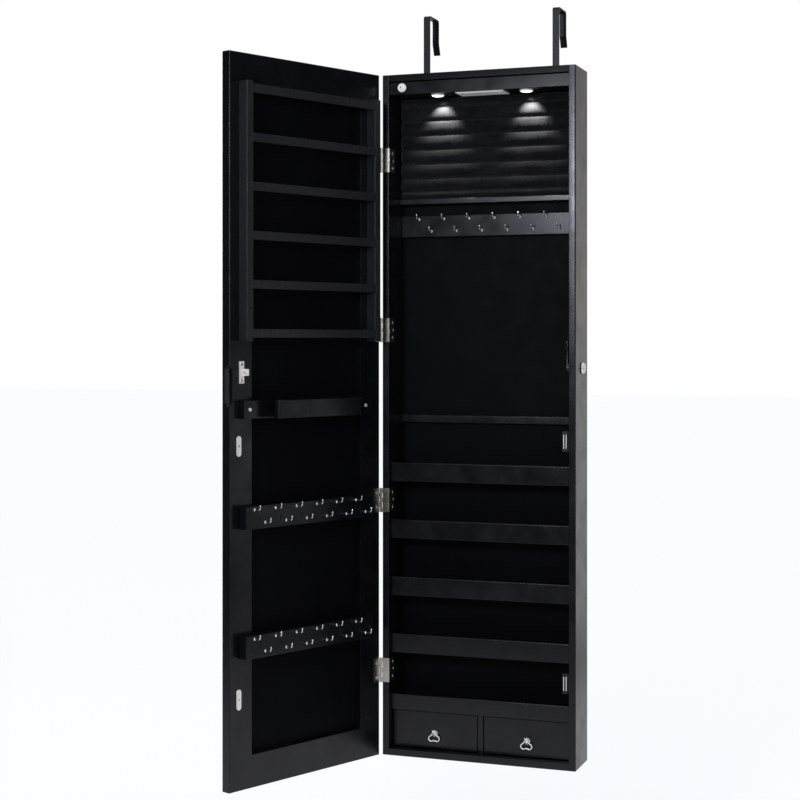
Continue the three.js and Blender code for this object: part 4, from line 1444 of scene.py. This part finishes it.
@dataclass
class Studio:
    """Pale floor, white surround, soft lamps and the photograph's camera."""

    eye: Triple = (0.860, -2.838, -0.587)
    yaw: float = 19.99
    lens: float = 74.9
    sensor: float = 36.0
    shift_y: float = -0.0711
    ambient: float = 0.85
    room: float = 0.045
    backdrop: float = 0.72
    backdrop_edge: Pair = (0.55, 0.88)
    backdrop_top: float = 0.58
    backdrop_fall: Pair = (0.03, 0.2)
    ceiling_edge: Pair = (0.5, 0.75)
    card: Triple = (0.8, -0.75, 0.15)
    card_edge: Pair = (0.86, 0.92)
    card_glow: float = 1.2
    cool: Triple = (0.86, 0.93, 1.0)
    warm: Triple = (1.0, 0.985, 0.965)
    floor_z: float = -1.62
    floor_size: float = 30.0
    floor_tone: Triple = (0.95, 0.97, 1.0)
    floor_glow: float = 0.5
    floor_bounce: float = 0.2
    floor_sheen: float = 0.75
    floor_fades: Pair = (1.8, 3.3)
    floor_meets_backdrop: Pair = (2.0, 3.2)
    beam_spread: float = 81.0
    beam_watts: float = 2.7
    beam_angle: float = 84.0

    def build_camera(self) -> None:
        """Sets the camera at the photograph's viewpoint."""
        data = bpy.data.cameras.new("camera")
        data.lens = self.lens
        data.sensor_width = self.sensor
        data.shift_y = self.shift_y
        camera = bpy.data.objects.new("camera", data)
        camera.location = self.eye
        camera.rotation_euler = (math.radians(90), 0, math.radians(self.yaw))
        bpy.context.scene.collection.objects.link(camera)
        bpy.context.scene.camera = camera

    def build_surround(self) -> None:
        """Gives the world a white look to the camera, and in reflections a backdrop and a dark room."""
        world = bpy.data.worlds.new("surround")
        world.use_nodes = True
        bpy.context.scene.world = world
        graph = Graph(world.node_tree)
        rays = graph.add("ShaderNodeLightPath", {}).outputs
        coords = graph.add("ShaderNodeTexCoord", {}).outputs["Generated"]
        heading = graph.add("ShaderNodeSeparateXYZ", {"Vector": coords}).outputs
        behind = graph.span(heading["Y"], *self.backdrop_edge, self.room, self.backdrop)
        falling = graph.span(heading["Z"], *self.backdrop_fall, 1.0, self.backdrop_top)
        dimmed = graph.add("ShaderNodeMath", {0: behind, 1: falling}, "MULTIPLY").outputs["Value"]
        above = graph.span(heading["Z"], *self.ceiling_edge, dimmed, 1.0)
        facing = {0: coords, 1: Vector(self.card).normalized()}
        toward = graph.add("ShaderNodeVectorMath", facing, "DOT_PRODUCT").outputs["Value"]
        carded = graph.span(toward, *self.card_edge, above, self.card_glow)
        reflected = graph.span(rays["Is Glossy Ray"], 0, 1, self.ambient, carded)
        level = graph.span(rays["Is Camera Ray"], 0, 1, reflected, 1.0)
        warmth = graph.span(heading["Y"], *self.backdrop_edge, 0, 1)
        lit = graph.blend(warmth, self.cool, self.warm)
        shown = graph.blend(rays["Is Camera Ray"], lit, (1, 1, 1))
        background = graph.add("ShaderNodeBackground", {"Color": shown, "Strength": level})
        graph.add("ShaderNodeOutputWorld", {"Surface": background.outputs["Background"]})

    def floor_material(self) -> Material:
        """Makes the floor's finish, with a look of its own in reflections.

        Returns:
            The material.
        """
        bench = Bench("pale_floor")
        bench.set(Base_Color=(0.6, 0.6, 0.6, 1), Roughness=0.9, Specular_IOR_Level=0.1)
        bench.set(Emission_Color=(1, 1, 1, 1))
        rays = bench.add("ShaderNodeLightPath", {}).outputs
        glow = bench.span(rays["Is Camera Ray"], 0, 1, self.floor_bounce, self.floor_glow)
        bench.feed("Emission Strength", glow)
        level = {0: bench.stretched((1, 1, 0))}
        distance = bench.add("ShaderNodeVectorMath", level, "LENGTH").outputs["Value"]
        sheen = bench.span(distance, *self.floor_fades, self.floor_sheen, self.room)
        heading = bench.add("ShaderNodeSeparateXYZ", {"Vector": bench.coords}).outputs
        behind = bench.span(heading["Y"], *self.floor_meets_backdrop, self.room, self.backdrop)
        brighter = bench.add("ShaderNodeMath", {0: sheen, 1: behind}, "MAXIMUM").outputs["Value"]
        tone = {"Strength": brighter, "Color": (*self.floor_tone, 1)}
        reflected = bench.add("ShaderNodeEmission", tone).outputs["Emission"]
        looks = {"Fac": rays["Is Glossy Ray"], 1: bench.shader.outputs["BSDF"], 2: reflected}
        either = bench.add("ShaderNodeMixShader", looks)
        bench.wire(bench.output, {"Surface": either.outputs["Shader"]})
        return bench.material

    def build_floor(self) -> None:
        """Lays the pale floor below the hanging cabinet. It fades out of reflections far in front."""
        bm = bmesh.new()
        bmesh.ops.create_grid(bm, x_segments=1, y_segments=1, size=self.floor_size)
        bmesh.ops.translate(bm, vec=(0, 0, self.floor_z), verts=bm.verts[:])
        mesh = bpy.data.meshes.new("floor")
        bm.to_mesh(mesh)
        bm.free()
        floor = bpy.data.objects.new("floor", mesh)
        bpy.context.scene.collection.objects.link(floor)
        mesh.materials.append(self.floor_material())

    def build_pad_light(self, side: Side) -> None:
        """Adds the beam that one of the cabinet's own lamps throws on the ring pad.

        Args:
            side: the lamp's side.
        """
        data = bpy.data.lights.new(f"pad_beam_{side.word}", "SPOT")
        data.energy = self.beam_watts
        data.spot_size = math.radians(self.beam_angle)
        data.spot_blend = 0.9
        data.shadow_soft_size = 0.004
        data.color = (1.0, 0.97, 0.92)
        x = CASE_WIDTH / 2 + side.value * self.beam_spread
        hang(data, place(x, 42, 1160), place(x, 62, 1120))

    def build(self) -> None:
        """Builds the studio."""
        bpy.context.scene.view_settings.view_transform = "Standard"
        self.build_camera()
        self.build_surround()
        self.build_floor()
        KEY.build()
        SIDE.build()
        for side in Side:
            self.build_pad_light(side)


def corners(box: tuple[Vector, Vector]) -> list[list[float]]:
    """Writes a box's two corners as plain numbers."""
    return [[round(value, 6) for value in corner] for corner in box]


def main() -> None:
    """Builds the dressed cabinet in its studio."""
    logging.basicConfig(level=logging.INFO, format="%(name)s: %(message)s")
    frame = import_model()
    nodes = frame["nodes"]
    Studio().build()
    Carcass(nodes).build()
    HookRail(nodes, node="necklace_rail").build()
    for level, bottom in (("lower", 214.5), ("upper", 424.5)):
        HookRail(
            nodes,
            node=f"door_rail_{level}",
            rides=Rides.DOOR,
            span=(34.0, 329.0),
            wall=DOOR_FACE + 0.3,
            thick=16.7,
            bottom=bottom,
            facing=1,
        ).build()
    RingPad(nodes).build()
    LightBox(nodes).build()
    for side in Side:
        Drawer(nodes, side=side).build()
    LockAndCatches(nodes).build()
    Hinges(nodes).build()
    Straps(nodes).build()
    Door(nodes).build()


if __name__ == "__main__":
    main()
